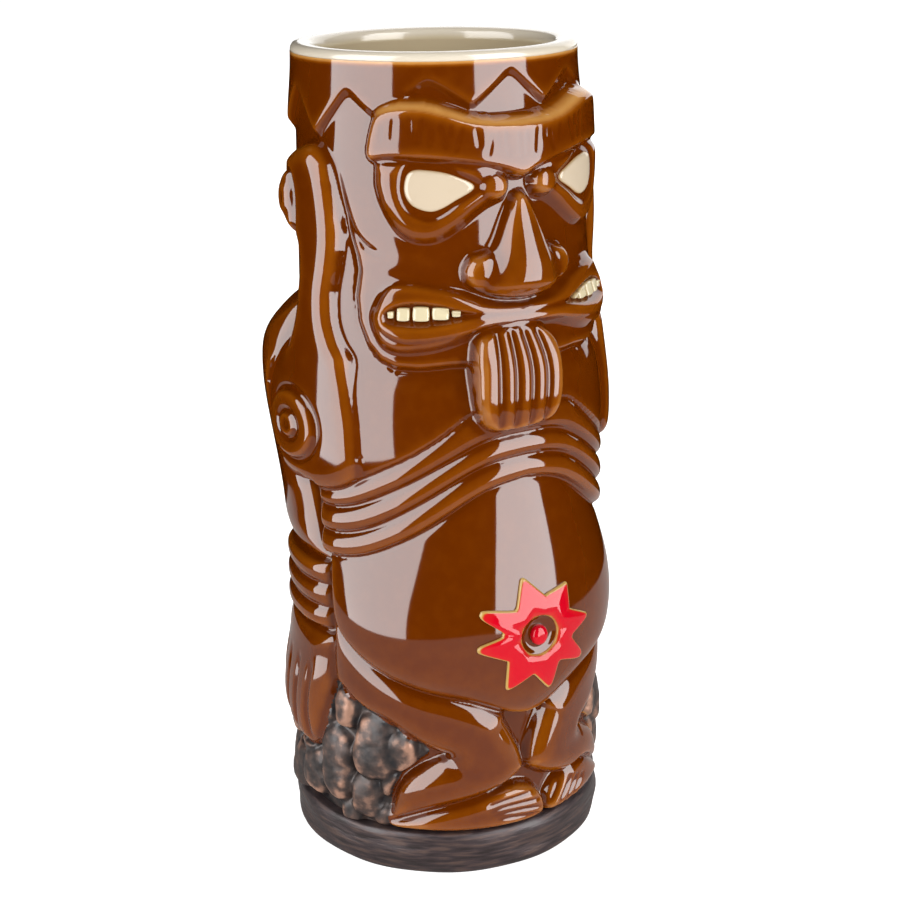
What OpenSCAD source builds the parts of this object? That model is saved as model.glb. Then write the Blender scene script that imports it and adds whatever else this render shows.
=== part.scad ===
// Tiki mug: a glazed stoneware tumbler on a round plinth, with a standing figure in relief.
// Millimetres. The origin is the middle of the flat underside, +Z is up, the figure faces -Y.
//
// The cup, its lining and the plinth are solids of revolution. Everything else is clay laid on
// the cup: each piece is a row of straight sections, and a section runs between two points
// given as an angle in degrees round the cup (0 is the front, positive is the figure's left)
// and a height in millimetres, as drawn on a mug 200 mm tall. The pieces follow the cup's
// real height and radius, and neighbours stay one crease apart.

/* [Cup] */
// Height from the table to the rim
mug_h = 200; // [160:1:245]
// Outside radius of the cup where it leaves the plinth
foot_r = 36.5; // [30:0.5:44]
// Outside radius of the cup at the rim
rim_r = 33; // [27:0.5:40]
// Thickness of the wall at the rim
rim_wall = 4.2; // [3:0.1:6]
// Thickness of the wall at the floor
foot_wall = 6.2; // [4:0.1:8]
// Thickness of the floor
floor_t = 5; // [3:0.5:8]
// Radius inside, where the wall meets the floor
floor_round = 6; // [2:0.5:10]
// Radius of the rim's inner and outer edges
rim_round = 1.4; // [0.5:0.1:1.4]
// Thickness of the cream glaze that lines the cup
glaze_t = 0.4; // [0.2:0.1:0.8]

/* [Plinth] */
// Height of the plinth
plinth_h = 11.5; // [8:0.5:14]
// How far the plinth stands out past the cup
plinth_ledge = 3.5; // [2:0.5:6]
// How deep the cup sits in the plinth
seat_depth = 7.5; // [3:0.5:7.5]
// Radius of the plinth's two edges
plinth_round = 1.6; // [0.5:0.1:1.8]

/* [Head] */
// How far the crown band stands proud of the head
crown_rise = 1.3; // [0.8:0.1:2.5]
// Number of teeth cut in the crown band
crown_teeth = 11; // [7:1:15]
// How far the cheeks stand proud of the cup
face_rise = 2.4; // [1.5:0.1:3.5]
// How far the brow stands proud of the cup
brow_rise = 4.6; // [3:0.1:7]
// How far the eyes stand proud of the cheeks
eye_rise = 1.1; // [0.6:0.1:2]
// Radius of the bead at each side of the bridge
bead_r = 3.2; // [2:0.1:3.6]
// How far the nose stands proud of the cheeks
nose_rise = 8; // [5:0.5:11]
// How far the lips stand proud of the cheeks
lip_rise = 2.2; // [1:0.1:3.5]
// How far the tongue stands proud of the chest
tongue_rise = 4.6; // [3:0.1:7]
// How far the ears stand proud of the cup
ear_rise = 5; // [3:0.1:7]

/* [Body] */
// How far the chest stands proud of the cup
chest_rise = 4.4; // [3:0.1:6]
// How far the three folds of the ribs stand proud of the cup
fold_rise = 5; // [3.5:0.1:7]
// How far the belly stands proud of the cup
belly_rise = 8.6; // [6:0.1:12]
// Radius of the navel star's points
star_r = 15; // [10:0.5:16]
// Number of points on the navel star
star_points = 8; // [5:1:12]
// Thickness of the navel star
star_t = 0.8; // [0.5:0.1:1.5]
// How far the arms stand proud of the cup
arm_rise = 6.5; // [4:0.1:9]
// How far the legs stand proud of the cup
leg_rise = 4.8; // [3:0.1:7]
// How far the rocks stand proud of the cup
rock_rise = 3; // [2:0.1:4]

/* [Hidden] */
// Height and plinth height of the mug that the figure is drawn on
drawn_h = 200;
drawn_plinth_h = 11.5;
// Gap between neighbouring pieces, and the film of slip under each piece
crease = 0.3;
slip = 0.1;
// Thickness of a piece at its edge, unless it is given one of its own
thin_edge = 0.6;
// Steps in a quarter round on the cup, and its glaze
quarter_steps = 6;

cup_bottom = plinth_h - seat_depth;
floor_z = cup_bottom + floor_t;
bore_top_r = rim_r - rim_wall;
bore_foot_r = foot_r - foot_wall;
plinth_r = foot_r + plinth_ledge;
shoulder_z = mug_h - glaze_t - rim_round;
chest_edge = 3;
leg_edge = 1.8;
face_edge = 0.8;

// Outside radius of the cup at a real height
function cup_r(z) = foot_r + (rim_r - foot_r) * (z - plinth_h) / (shoulder_z - plinth_h);
// Real height of a drawn height
function up(z) = plinth_h + (z - drawn_plinth_h) * (mug_h - plinth_h) / (drawn_h - drawn_plinth_h);
// Surfaces that pieces are laid on, by angle and real height
on_cup = function (a, z) cup_r(z);
on_face = function (a, z) cup_r(z) + face_rise;
on_chest = function (a, z) cup_r(z) + chest_rise;
on_ear = function (a, z) cup_r(z) + ear_rise;
on_belly = function (a, z) cup_r(z) + belly_swell(a, z);
// Point of the mug at an angle from the front, a height and a radius
function spot(a, z, r) = [r * sin(a), -r * cos(a), z];

// A smooth row of values through a row of hand-set ones, with a number of steps between each
function blend(p, q, r, s, t) =
    (2 * q + (r - p) * t + (2 * p - 5 * q + 4 * r - s) * t ^ 2 + (3 * q - p - 3 * r + s) * t ^ 3) / 2;
function smooth(rows, steps) =
    let (last = len(rows) - 1)
    [for (i = [0 : last - 1], k = [0 : steps - 1])
         blend(rows[max(i - 1, 0)], rows[i], rows[i + 1], rows[min(i + 2, last)], k / steps),
     rows[last]];

// Height of a rounded section, from 0 at its two ends to 1: flat beyond the rounded share
function swell(s, rounded) =
    let (e = 2 * min(s, 1 - s))
    e >= rounded ? 1 : sqrt(1 - (1 - e / rounded) ^ 2);

// One section as [angle, height, back radius, front radius] points. A row is
// [angle, height, angle, height, rise] for its two ends, and half a crease is left at each.
function section(row, across, edge, rounded, base) =
    let (r0 = base(row[0], up(row[1])),
         width = norm([(row[2] - row[0]) * PI / 180 * r0, up(row[3]) - up(row[1])]),
         inset = min(crease / 2 / width, 0.3))
    [for (j = [0 : across])
        let (s = (1 - cos(180 * j / across)) / 2,
             t = inset + s * (1 - 2 * inset),
             a = row[0] + t * (row[2] - row[0]),
             z = up(row[1] + t * (row[3] - row[1])),
             back = base(a, z) + slip,
             lip = min(edge, row[4]))
        [a, z, back, back + lip + (row[4] - lip) * swell(s, rounded)]];

// Half a row of upright sections, from the middle of the figure out, given its other half
function both_halves(half) =
    concat([for (i = [len(half) - 1 : -1 : 1]) let (h = half[i]) [-h[0], h[1], -h[2], h[3], h[4]]], half);
// Upright section: one angle, a bottom, a top and a rise
function upright(a, low, high, rise) = [a, low, a, high, rise];

// Two triangles for a four-sided patch
function patch(a, b, c, d) = [[a, b, c], [a, c, d]];

// Closed solid through a list of sections. A ring joins its last section to its first.
module solid(sections, ring = false) {
    n = len(sections);
    m = len(sections[0]);
    last = ring ? n - 1 : n - 2;
    mid = floor(last / 2);
    function id(i, j, front) = 2 * ((i % n) * m + j) + front;
    along = sections[mid + 1][0] - sections[mid][0];
    over = sections[mid][m - 1] - sections[mid][0];
    reverse = along[0] * over[1] - along[1] * over[0] > 0;
    points = [for (s = sections, p = s) each [spot(p[0], p[1], p[2]), spot(p[0], p[1], p[3])]];
    faces = [
        for (i = [0 : last], j = [0 : m - 2]) each concat(
            patch(id(i, j, 1), id(i + 1, j, 1), id(i + 1, j + 1, 1), id(i, j + 1, 1)),
            patch(id(i, j, 0), id(i, j + 1, 0), id(i + 1, j + 1, 0), id(i + 1, j, 0))),
        for (i = [0 : last]) each concat(
            patch(id(i, 0, 0), id(i + 1, 0, 0), id(i + 1, 0, 1), id(i, 0, 1)),
            patch(id(i, m - 1, 0), id(i, m - 1, 1), id(i + 1, m - 1, 1), id(i + 1, m - 1, 0))),
        if (!ring) for (j = [0 : m - 2]) each concat(
            patch(id(0, j, 0), id(0, j, 1), id(0, j + 1, 1), id(0, j + 1, 0)),
            patch(id(n - 1, j, 0), id(n - 1, j + 1, 0), id(n - 1, j + 1, 1), id(n - 1, j, 1)))
    ];
    polyhedron(points, reverse ? [for (f = faces) [f[2], f[1], f[0]]] : faces);
}

// A piece of relief through hand-set rows
module relief(rows, steps = 2, across = 6, edge = thin_edge, rounded = 1, base = on_cup) {
    solid([for (row = smooth(rows, steps)) section(row, across, edge, rounded, base)]);
}

// A round or pointed piece: rings of points about a centre, from its outline in to a round hub,
// which is a hole or, when tiny, the crown. reach(k) is the outline's radius at its k-th point.
crown_dot = 0.15;
module boss(centre, points, reach, rise, base, rings = 3, edge = thin_edge, hub = crown_dot) {
    c = [centre[0], up(centre[1])];
    mm_per_degree = PI / 180 * base(c[0], c[1]);
    solid([for (k = [0 : points - 1]) [for (j = [0 : rings])
        let (out = 1 - j / rings,
             turn = 360 * k / points,
             r = hub + (reach(k) - hub) * out,
             a = c[0] + r * cos(turn) / mm_per_degree,
             z = c[1] + r * sin(turn),
             back = base(a, z) + slip)
        [a, z, back, back + edge + (rise - edge) * sqrt(1 - out ^ 2)]]], ring = true);
}

// The figure's right side is its left side mirrored
module right() mirror([1, 0, 0]) children();

// Quarter round in a section, from one angle to another about a centre
function quarter(x, y, r, from, to) =
    [for (i = [0 : quarter_steps])
        let (t = from + (to - from) * i / quarter_steps) [x + r * cos(t), y + r * sin(t)]];
// Line of the rim and the inside, from the rim's outer edge to the middle of the floor
function inside_line(t) = concat(
    quarter(rim_r - rim_round, shoulder_z, rim_round + t, 0, 90),
    quarter(bore_top_r + rim_round, shoulder_z, rim_round + t, 90, 180),
    quarter(bore_foot_r - floor_round, floor_z + floor_round, floor_round - t, 0, -90),
    [[0, floor_z + t]]);

module cup_body() {
    color("#6b3108") rotate_extrude($fn = 96)
        polygon(concat([[0, cup_bottom], [foot_r, cup_bottom], [foot_r, plinth_h]], inside_line(0)));
}

module liner_glaze() {
    lining = inside_line(0);
    color("#cfc3a6") rotate_extrude($fn = 96)
        polygon(concat(inside_line(glaze_t), [for (i = [len(lining) - 1 : -1 : 0]) lining[i]]));
}

module plinth() {
    color("#4d4044") rotate_extrude($fn = 96) polygon(concat(
        [[0, 0]],
        quarter(plinth_r - plinth_round, plinth_round, plinth_round, -90, 0),
        quarter(plinth_r - plinth_round, plinth_h - plinth_round, plinth_round, 0, 90),
        [[foot_r, plinth_h], [foot_r, cup_bottom], [0, cup_bottom]]));
}

// ---- Head ----

// The crown is a band under the rim with a zigzag lower edge, cut lower at the sides
crown_front_peak = 196;
crown_side_peak = 192;
crown_front_valley = 190.6;
crown_side_valley = 181;
crown_steps = 3;
function crown_edge(a) =
    let (tooth = 360 / crown_teeth,
         side = min(abs(a > 180 ? a - 360 : a) / 75, 1),
         phase = abs((a / tooth) - round(a / tooth)) * 2,
         peak = crown_front_peak + side * (crown_side_peak - crown_front_peak),
         valley = crown_front_valley + side * (crown_side_valley - crown_front_valley))
    peak + phase * (valley - peak);

module crown_band() {
    count = crown_teeth * crown_steps * 2;
    band_top = drawn_h - (mug_h - shoulder_z) * (drawn_h - drawn_plinth_h) / (mug_h - plinth_h);
    color("#75380a") solid([for (i = [0 : count - 1])
        let (a = 360 * i / count)
        section([a, crown_edge(a), a, band_top, crown_rise], 3, 0.5, 0.5, on_cup)], ring = true);
}

// The cheeks: a broad shield from the brow down to the chin
face_half = [
    upright(0, 131.6, 172.6, face_rise), upright(8, 131.6, 173.4, face_rise),
    upright(16, 131.6, 174.6, face_rise), upright(26, 131.5, 175.7, face_rise),
    upright(36, 131.2, 176.6, face_rise), upright(44, 131.6, 176.6, face_rise),
    upright(50, 133, 176.2, face_rise), upright(55, 136.4, 173, face_rise * 0.9),
    upright(59, 142.5, 162, face_rise * 0.6)];
module face_shield() {
    color("#6e3409") relief(both_halves(face_half), across = 5, edge = face_edge, rounded = 0.12);
}

brow_half = [
    upright(0, 172.8, 185.8, brow_rise), upright(8, 173.6, 186.1, brow_rise),
    upright(16, 174.8, 186.8, brow_rise), upright(24, 175.8, 188, brow_rise),
    upright(32, 176.6, 189.5, brow_rise), upright(40, 176.8, 189.8, brow_rise),
    upright(48, 176.7, 189.2, brow_rise * 0.95), upright(54, 176.8, 187, brow_rise * 0.75),
    upright(56, 178, 184, brow_rise * 0.5)];
module brow() {
    color("#7a3c0c") relief(both_halves(brow_half), across = 5, edge = 1.6, rounded = 0.4);
}

// The socket is a ring round the eye. Each row gives its outer and inner edge.
eye_centre = [29, 170.8];
eye_turns = 24;
// Tear-drop outline: blunt on the outside, drawn to a point towards the nose, flat on top
function tear(turn) =
    let (c = cos(turn), s = sin(turn))
    (c > 0 ? 7.6 : 8.2) * (1 - 0.42 * abs(s) ^ 1.4)
        * (c < -0.5 ? 1 - 0.1 * abs(s) : 1) * (s > 0 ? 0.97 : 1.05);
eye_outline = function (k) tear(360 * k / eye_turns);
module eye_left() {
    color("#dccbae") boss(eye_centre, eye_turns, eye_outline, eye_rise, on_face);
}

socket_rows = [
    [9, 167.4, 12.5, 171.2, 1.4], [15, 164.9, 17, 169, 2.2], [20, 162.4, 21, 167, 2.6],
    [25, 160.1, 25.5, 165.1, 2.8], [30, 158.7, 30, 164.2, 2.8], [35, 158.3, 34, 164, 2.8],
    [40, 159, 38, 164.4, 2.8], [46, 161.5, 42.3, 166.3, 2.6], [50, 166, 44, 169.6, 2.2],
    [52, 171, 44.2, 173, 1.6], [52.6, 174.5, 44, 175.6, 1]];
module eye_socket_left() {
    color("#7a3c0c") relief(socket_rows, across = 4, edge = 0.4, base = on_face);
}

bead_place = [10.3, 170.9];
module bridge_bead_left() {
    color("#743609")
        boss(bead_place, 12, function (k) bead_r, bead_r * 0.75, on_face, rings = 2, edge = 0.4);
}

nose_rows = [
    [-2, 169.4, 2, 169.4, 1.6], [-5.5, 166.5, 5.5, 166.5, 3], [-8.5, 163, 8.5, 163, 4.2],
    [-11.5, 159.5, 11.5, 159.5, 5.6], [-16, 156.8, 16, 156.8, 7], [-22, 153.5, 22, 153.5, 8],
    [-22.8, 151, 22.8, 151, 8], [-18.5, 148.3, 18.5, 148.3, 6.6], [-8, 145.6, 8, 145.6, 3]];
module nose() {
    color("#743609") relief([for (r = nose_rows) [r[0], r[1], r[2], r[3], r[4] * nose_rise / 8]],
        steps = 1, across = 10, edge = 0.8, base = on_face);
}

upper_lip_half = [
    upright(0, 142.9, 144.9, lip_rise), upright(10, 143.2, 145.2, lip_rise),
    upright(18, 144.3, 147.2, lip_rise), upright(26, 145.3, 148.7, lip_rise),
    upright(34, 146, 149.6, lip_rise), upright(42, 145.8, 150, lip_rise),
    upright(48, 143.8, 149, lip_rise * 0.8), upright(50.5, 142.8, 146.5, lip_rise * 0.5)];
module upper_lip() {
    color("#8a4a10") relief(both_halves(upper_lip_half), across = 4, edge = 0.4, base = on_face);
}

lower_lip_half = [
    upright(0, 140, 142.6, lip_rise), upright(12, 139.9, 142.2, lip_rise),
    upright(20, 139, 141.6, lip_rise), upright(28, 138, 141.2, lip_rise),
    upright(36, 137.2, 141, lip_rise), upright(43, 137.3, 141, lip_rise),
    upright(48, 138.8, 141.8, lip_rise * 0.8), upright(50.5, 140.4, 142.6, lip_rise * 0.5)];
module lower_lip() {
    color("#8a4a10") relief(both_halves(lower_lip_half), across = 4, edge = 0.4, base = on_face);
}

// Four teeth show at each corner of the mouth: each is [from angle, to angle, bottom, top]
teeth_places = [[22, 25.7, 142, 143.6], [26.5, 32.6, 141.5, 144.3],
                [33.4, 39.6, 141.3, 144.4], [40.4, 44.8, 141.6, 144]];
tooth_rise = 0.9;
module teeth_left() {
    color("#e6d8b8") for (t = teeth_places)
        relief([[t[0], t[2], t[0], t[3], tooth_rise], [t[1], t[2], t[1], t[3], tooth_rise]],
            steps = 1, across = 4, edge = 0.5, base = on_face);
}

jowl_rows = [
    [20, 138.6, 20, 136.9, 1], [28, 137.8, 28, 135.2, 1.4], [36, 137, 36, 134.2, 1.6],
    [43, 137, 43.6, 133.9, 1.6], [48.5, 138.4, 49.6, 135.2, 1.6], [51, 140.6, 53, 138.2, 1.4],
    [52, 143, 54.6, 141.6, 1]];
module jowl_left() {
    color("#7a3c0c") relief(jowl_rows, across = 3, edge = 0.3, base = on_face);
}

// The chin is a roll under the cheeks, turned up past the corners of the jaw
chin_half = [
    upright(0, 129.2, 131.4, 3), upright(10, 129.2, 131.4, 3), upright(20, 129.2, 131.4, 3),
    upright(30, 129, 131.3, 3), upright(38, 128.6, 131, 3), [44.5, 129, 44, 131.3, 3],
    [51.5, 131.2, 49.8, 132.8, 2.8], [57, 135.2, 54.8, 136, 2.6], [61, 141, 58.9, 141.8, 2.2],
    [62.5, 147, 60.4, 147, 1.8], [61.4, 152, 59.8, 151.6, 1]];
module chin_roll() {
    color("#7a3c0c") relief(both_halves(chin_half), across = 3, edge = 0.8);
}

// The tongue hangs over the chest, rolled and ridged lengthways
tongue_ridges = 5;
tongue_rows = [
    [-15.5, 117, 15.5, 117, 3], [-18, 119.5, 18, 119.5, 4.2], [-19, 124, 19, 124, 4.6],
    [-19, 129, 19, 129, 4.6], [-18, 134, 18, 134, 4.4], [-15.5, 137.2, 15.5, 137.2, 3.4],
    [-13, 139, 13, 139, 2]];
module tongue() {
    step = 3;
    across = tongue_ridges * step;
    groove = 0.9;
    rows = smooth([for (r = tongue_rows) [r[0], r[1], r[2], r[3], r[4] * tongue_rise / 4.6]], 2);
    color("#743609") solid([for (row = rows) let (plain = section(row, across, 2, 0.3, on_chest))
        [for (j = [0 : across]) let (p = plain[j], in = j > 0 && j < across && j % step == 0)
            [p[0], p[1], p[2], p[3] - (in ? min(groove, row[4] / 3) : 0)]]]);
}

// ---- Ears ----

// Each row runs from the ear's front edge to its back edge
ear_rows = [
    [79, 179.4, 91, 178, 0.6], [72, 175.8, 99, 175.4, 0.85], [68, 170, 103, 169.5, 0.9],
    [66.2, 164, 102, 163.4, 0.9], [66, 159.4, 95, 158.8, 0.95], [67.4, 152, 88, 153, 1],
    [69.3, 146, 89, 145.6, 1], [69, 140, 90.5, 140, 1], [66, 135, 94, 134.2, 1],
    [61.8, 129, 99.5, 128, 1], [60, 122, 103.6, 121, 1], [58.6, 114, 104, 114.5, 1],
    [58.4, 107, 102, 107.4, 1], [61.4, 102.4, 97, 102, 0.85], [70, 99.4, 86, 99.2, 0.6]];
module ear_left() {
    color("#75380a") relief([for (r = ear_rows) [r[0], r[1], r[2], r[3], r[4] * ear_rise]],
        steps = 1, across = 9, edge = 1.2, rounded = 0.45);
}

scroll_place = [94, 167.6];
scroll_r = 6;
module ear_scroll_left() {
    color("#8a4a10")
        boss(scroll_place, 20, function (k) scroll_r, 1.6, on_ear, rings = 2, edge = 0.4,
            hub = scroll_r / 2);
}

plug_place = [86.5, 113.4];
plug_r = 8.6;
module lobe_plug_left() {
    color("#75380a")
        boss(plug_place, 20, function (k) plug_r, 1.8, on_ear, rings = 2, edge = 0.5);
}

// ---- Arms ----

// Each row runs from the arm's front edge to its back edge
arm_rows = [
    [99, 141.5, 109, 142.5, 0.5], [97, 137, 120, 138.5, 0.8], [99, 131.5, 127, 132, 0.95],
    [103, 125, 131, 125, 1.2], [105.4, 118, 133.5, 117, 1.2], [104.8, 110, 134, 109, 1.1],
    [101, 103, 133.5, 102, 0.95], [88, 97, 133, 96.5, 0.75], [83.5, 91.5, 131.5, 91, 0.72],
    [80.5, 85, 130.5, 85, 0.72], [78.8, 79.4, 129.5, 79.2, 0.72]];
module arm_left() {
    color("#75380a") relief([for (r = arm_rows) [r[0], r[1], r[2], r[3], r[4] * arm_rise]],
        steps = 1, across = 8, edge = 1.2, rounded = 0.9);
}

wrist_low = 60.5;
wrist_ring = 6.1;
wrist_rings = 3;
wrist_rise = 4.6;
wrist_front = 78.5;
wrist_back = 129;
wrist_steps = 8;
module wrist_bands_left() {
    color("#7a3c0c") for (i = [0 : wrist_rings - 1]) let (low = wrist_low + i * wrist_ring)
        relief([for (i = [0 : wrist_steps])
            upright(wrist_front + i * (wrist_back - wrist_front) / wrist_steps, low, low + wrist_ring,
                wrist_rise * (0.8 + 0.2 * sin(180 * i / wrist_steps)))],
            steps = 1, across = 4, edge = 1);
}

hand_rows = [
    [78, 60.2, 128.5, 60.2, 0.72], [76.8, 54, 127.5, 54, 0.86], [76.6, 48, 126, 48, 0.95],
    [78, 42, 123.5, 42, 1], [80.2, 36, 119.5, 36, 0.95], [83.2, 31, 113, 31, 0.8],
    [88, 27.6, 103, 27.4, 0.45]];
module hand_left() {
    fingers = 4;
    step = 3;
    across = fingers * step;
    groove = 0.8;
    rows = [for (r = hand_rows) [r[0], r[1], r[2], r[3], r[4] * arm_rise]];
    color("#75380a") solid([for (row = rows) let (plain = section(row, across, 1.2, 0.7, on_cup))
        [for (j = [0 : across]) let (p = plain[j], in = j > 0 && j < across && j % step == 0)
            [p[0], p[1], p[2], p[3] - (in && row[1] < 52 ? groove : 0)]]]);
}

// ---- Chest and belly ----

// Heights of the lines that divide chest, ribs and belly, by angle from the front
line_angles = [0, 8, 16, 24, 32, 40, 48, 56, 64, 72, 78];
chest_line = [119.6, 119.6, 120, 117.4, 113.6, 110, 107, 104.2, 101.3, 99.8, 99.2];
rib_line_1 = [114, 113.7, 112.3, 109.4, 106.4, 103.2, 100.2, 97.6, 95.6, 94.7, 94.8];
rib_line_2 = [108.4, 108, 106.6, 103.8, 100.4, 96.8, 93.4, 91, 89.2, 88.2, 88];
belly_line = [102.8, 102.2, 100.4, 97.2, 93.4, 89.8, 86.8, 84.4, 82.8, 82, 81.6];
belly_foot = [42.4, 43.4, 45.8, 48.4, 50, 51.2, 52.8, 55, 57.8, 61.4, 65];
belly_share = [1, 1, 0.99, 0.97, 0.94, 0.9, 0.84, 0.76, 0.64, 0.46, 0.28];

function band(low, high, rises) =
    both_halves([for (i = [0 : len(line_angles) - 1]) upright(line_angles[i], low[i], high[i], rises[i])]);

chest_half = [
    upright(0, 119.6, 129, chest_rise), upright(8, 119.6, 129, chest_rise),
    upright(16, 120, 129, chest_rise), upright(24, 117.4, 129, chest_rise),
    upright(32, 113.6, 128.8, chest_rise), upright(40, 110, 128.4, chest_rise),
    upright(47, 107.4, 129, chest_rise), upright(53, 105.2, 131, chest_rise * 0.95),
    upright(57.2, 103.9, 132.6, chest_rise * 0.85)];
module chest() {
    color("#6e3409") relief(both_halves(chest_half), across = 4, edge = 2.4, rounded = 0.15);
}

module rib_fold(low, high) {
    color("#7a3c0c")
        relief(band(low, high, [for (a = line_angles) fold_rise * (a > 70 ? 0.75 : 1)]),
            steps = 1, across = 4, edge = chest_edge);
}
module rib_fold_upper() { rib_fold(rib_line_1, chest_line); }
module rib_fold_middle() { rib_fold(rib_line_2, rib_line_1); }
module rib_fold_lower() { rib_fold(belly_line, rib_line_2); }

belly_rows = smooth(band(belly_foot, belly_line, belly_share * belly_rise), 2);
belly_edge = 2.2;
// Height of the belly's front over the cup at an angle and a real height
function belly_swell(a, z) =
    let (angles = [for (r = belly_rows) [r[0], r[1]]],
         low = up(lookup(a, angles)),
         high = up(lookup(a, [for (r = belly_rows) [r[0], r[3]]])),
         rise = lookup(a, [for (r = belly_rows) [r[0], r[4]]]))
    slip + belly_edge + (rise - belly_edge) * swell(min(max((z - low) / (high - low), 0), 1), 1);
module belly() {
    color("#6e3409") solid([for (row = belly_rows) section(row, 8, belly_edge, 1, on_cup)]);
}

star_place = [0, 64.4];
star_inner = 0.62;
star_hub_r = 5.2;
star_steps = 2;
star_reach = function (k)
    let (turn = k / (2 * star_steps), out = abs(turn - round(turn)) * 2)
    star_r * (1 - (1 - star_inner) * out);
module navel_star() {
    color("#d8001c") boss(star_place, star_points * 2 * star_steps, star_reach, star_t, on_belly,
        rings = 2, edge = star_t * 0.7, hub = star_hub_r);
}

navel_bead_r = 1.8;
module navel_bead() {
    color("#c00018")
        boss(star_place, 12, function (k) navel_bead_r, 1.4, on_belly, rings = 2, edge = 0.3);
}

// ---- Legs ----

thigh_half = [
    upright(1.2, 31.4, 41.4, 3), upright(6, 29.4, 43, 4), upright(12, 28.8, 44.6, 4.6),
    upright(20, 29.2, 47, 4.8), upright(28, 31.4, 49, 4.8), upright(36, 33.6, 50.4, 4.8),
    upright(45, 37, 51.8, 4.8), upright(54, 40.8, 54, 4.6), upright(62, 42.6, 56.8, 4.2),
    upright(69, 45.2, 60, 3.4), upright(75, 47.6, 63, 2.4)];
module thigh_left() {
    color("#75380a") relief([for (r = thigh_half) [r[0], r[1], r[2], r[3], r[4] * leg_rise / 4.8]],
        steps = 1, across = 6, edge = leg_edge);
}

shin_rows = [
    upright(1.2, 26.2, 30.6, 2.8), upright(6, 24.2, 28.8, 3.4), upright(12, 22, 28.4, 3.8),
    upright(20, 20.4, 28.8, 4.2), upright(28, 19.4, 31, 4.4), upright(35, 18.4, 31.6, 4.4),
    upright(41, 17.4, 29.4, 4.2), upright(46.5, 15.4, 26.4, 3.8), upright(50.5, 14, 21.6, 3)];
module shin_left() {
    color("#6e3409") relief([for (r = shin_rows) [r[0], r[1], r[2], r[3], r[4] * leg_rise / 4.8]],
        steps = 1, across = 5, edge = leg_edge);
}

// Both feet turn to the figure's left, so the right one reaches past the middle to meet the left
feet_meet = 9;
feet_gap = 0.4;
heel = 51;
foot_rows = [
    upright(0, 11.8, 17.5, 2.8), upright(5, 11.6, 20.3, 3.6), upright(13, 11.6, 21.4, 4.2),
    upright(22, 11.7, 20.2, 4.4), upright(30, 11.8, 19.2, 4.4), upright(38, 12, 18.2, 4.2),
    upright(45, 12.4, 16.4, 3.6), upright(51, 12.8, 14.6, 2.4)];
module foot(toe) {
    shin_foot = [for (r = shin_rows) [r[0], r[1]]];
    color("#75380a") relief([for (r = foot_rows) let (a = toe + r[0] * (heel - toe) / heel)
        upright(a, r[1], min(r[3], lookup(abs(a), shin_foot)), r[4] * leg_rise / 4.8)],
        steps = 1, across = 5, edge = leg_edge);
}

// ---- Rocks ----

// Each rock is [angle, height, half its width in degrees, half its height, share of the rise]
rocks_front = [[70.8, 40.2, 4.8, 4.8, 1], [58.6, 32.2, 7, 8, 1.05], [46, 32.6, 4.6, 4.6, 0.8],
               [75.4, 25.2, 7.6, 9.4, 1.1], [60.2, 17.6, 6.8, 6, 1]];
rock_pitch = 14;
// Rocks under the hand, and heaped up behind the arm to the middle of the back
rocks_low = [for (a = [91 : rock_pitch : 174]) [a, 18.8, rock_pitch / 2, 6.6, 1 + 0.08 * sin(5 * a)]];
rocks_high = [for (a = [138 : rock_pitch : 174]) [a, 32.6, rock_pitch / 2, 6.6, 0.95 + 0.08 * sin(7 * a)]];

// A rock is a block with cut corners and a flat, tilted top. Its corners are shares of its
// half width and half height, and each is knocked back by its own small amount.
rock_corners = [[1, 0.4], [0.45, 1], [-0.4, 1], [-1, 0.5], [-1, -0.4], [-0.5, -1], [0.4, -1], [1, -0.45]];
rock_edge = 0.7;
rock_top = 0.66;
rock_tilt = 0.2;
module rock(r) {
    high = rock_rise * r[4];
    slope = 50 * r[0];
    function corner(k, share, lift) =
        let (knock = 0.92 + 0.05 * sin(97 * k + 3 * r[0]),
             x = rock_corners[k][0] * knock * share,
             y = rock_corners[k][1] * knock * share,
             z = up(r[1] + r[3] * y),
             back = cup_r(z) + slip)
        [r[0] + r[2] * x, z, back, back + lift * (1 + rock_tilt * (x * cos(slope) + y * sin(slope)))];
    solid([for (k = [0 : len(rock_corners) - 1])
        [corner(k, 1, rock_edge), corner(k, rock_top, high), corner(k, 0.02, high)]], ring = true);
}

module rocks_left() {
    color("#50464a") for (r = concat(rocks_front, rocks_low, rocks_high)) rock(r);
}

cup_body();
liner_glaze();
plinth();
crown_band();
face_shield();
brow();
eye_socket_left();
right() eye_socket_left();  // eye_socket_right
eye_left();
right() eye_left();  // eye_right
bridge_bead_left();
right() bridge_bead_left();  // bridge_bead_right
nose();
upper_lip();
lower_lip();
teeth_left();
right() teeth_left();  // teeth_right
jowl_left();
right() jowl_left();  // jowl_right
chin_roll();
tongue();
ear_left();
right() ear_left();  // ear_right
ear_scroll_left();
right() ear_scroll_left();  // ear_scroll_right
lobe_plug_left();
right() lobe_plug_left();  // lobe_plug_right
arm_left();
right() arm_left();  // arm_right
wrist_bands_left();
right() wrist_bands_left();  // wrist_bands_right
hand_left();
right() hand_left();  // hand_right
chest();
rib_fold_upper();
rib_fold_middle();
rib_fold_lower();
belly();
navel_star();
navel_bead();
thigh_left();
right() thigh_left();  // thigh_right
shin_left();
right() shin_left();  // shin_right
foot(feet_meet + feet_gap);  // foot_left
right() foot(-feet_meet);  // foot_right
rocks_left();
right() rocks_left();  // rocks_right
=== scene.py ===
"""Tiki mug. The figure is sculpted as one field of radii round the cup, by angle and height, and
each part of the field becomes a closed piece that stands for its CAD node. Angles are in degrees
from the front, positive towards the figure's left, and heights in millimetres as drawn on a mug
200 mm tall. Shapes are given for the figure's left side and mirrored for its right."""
import math

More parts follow.
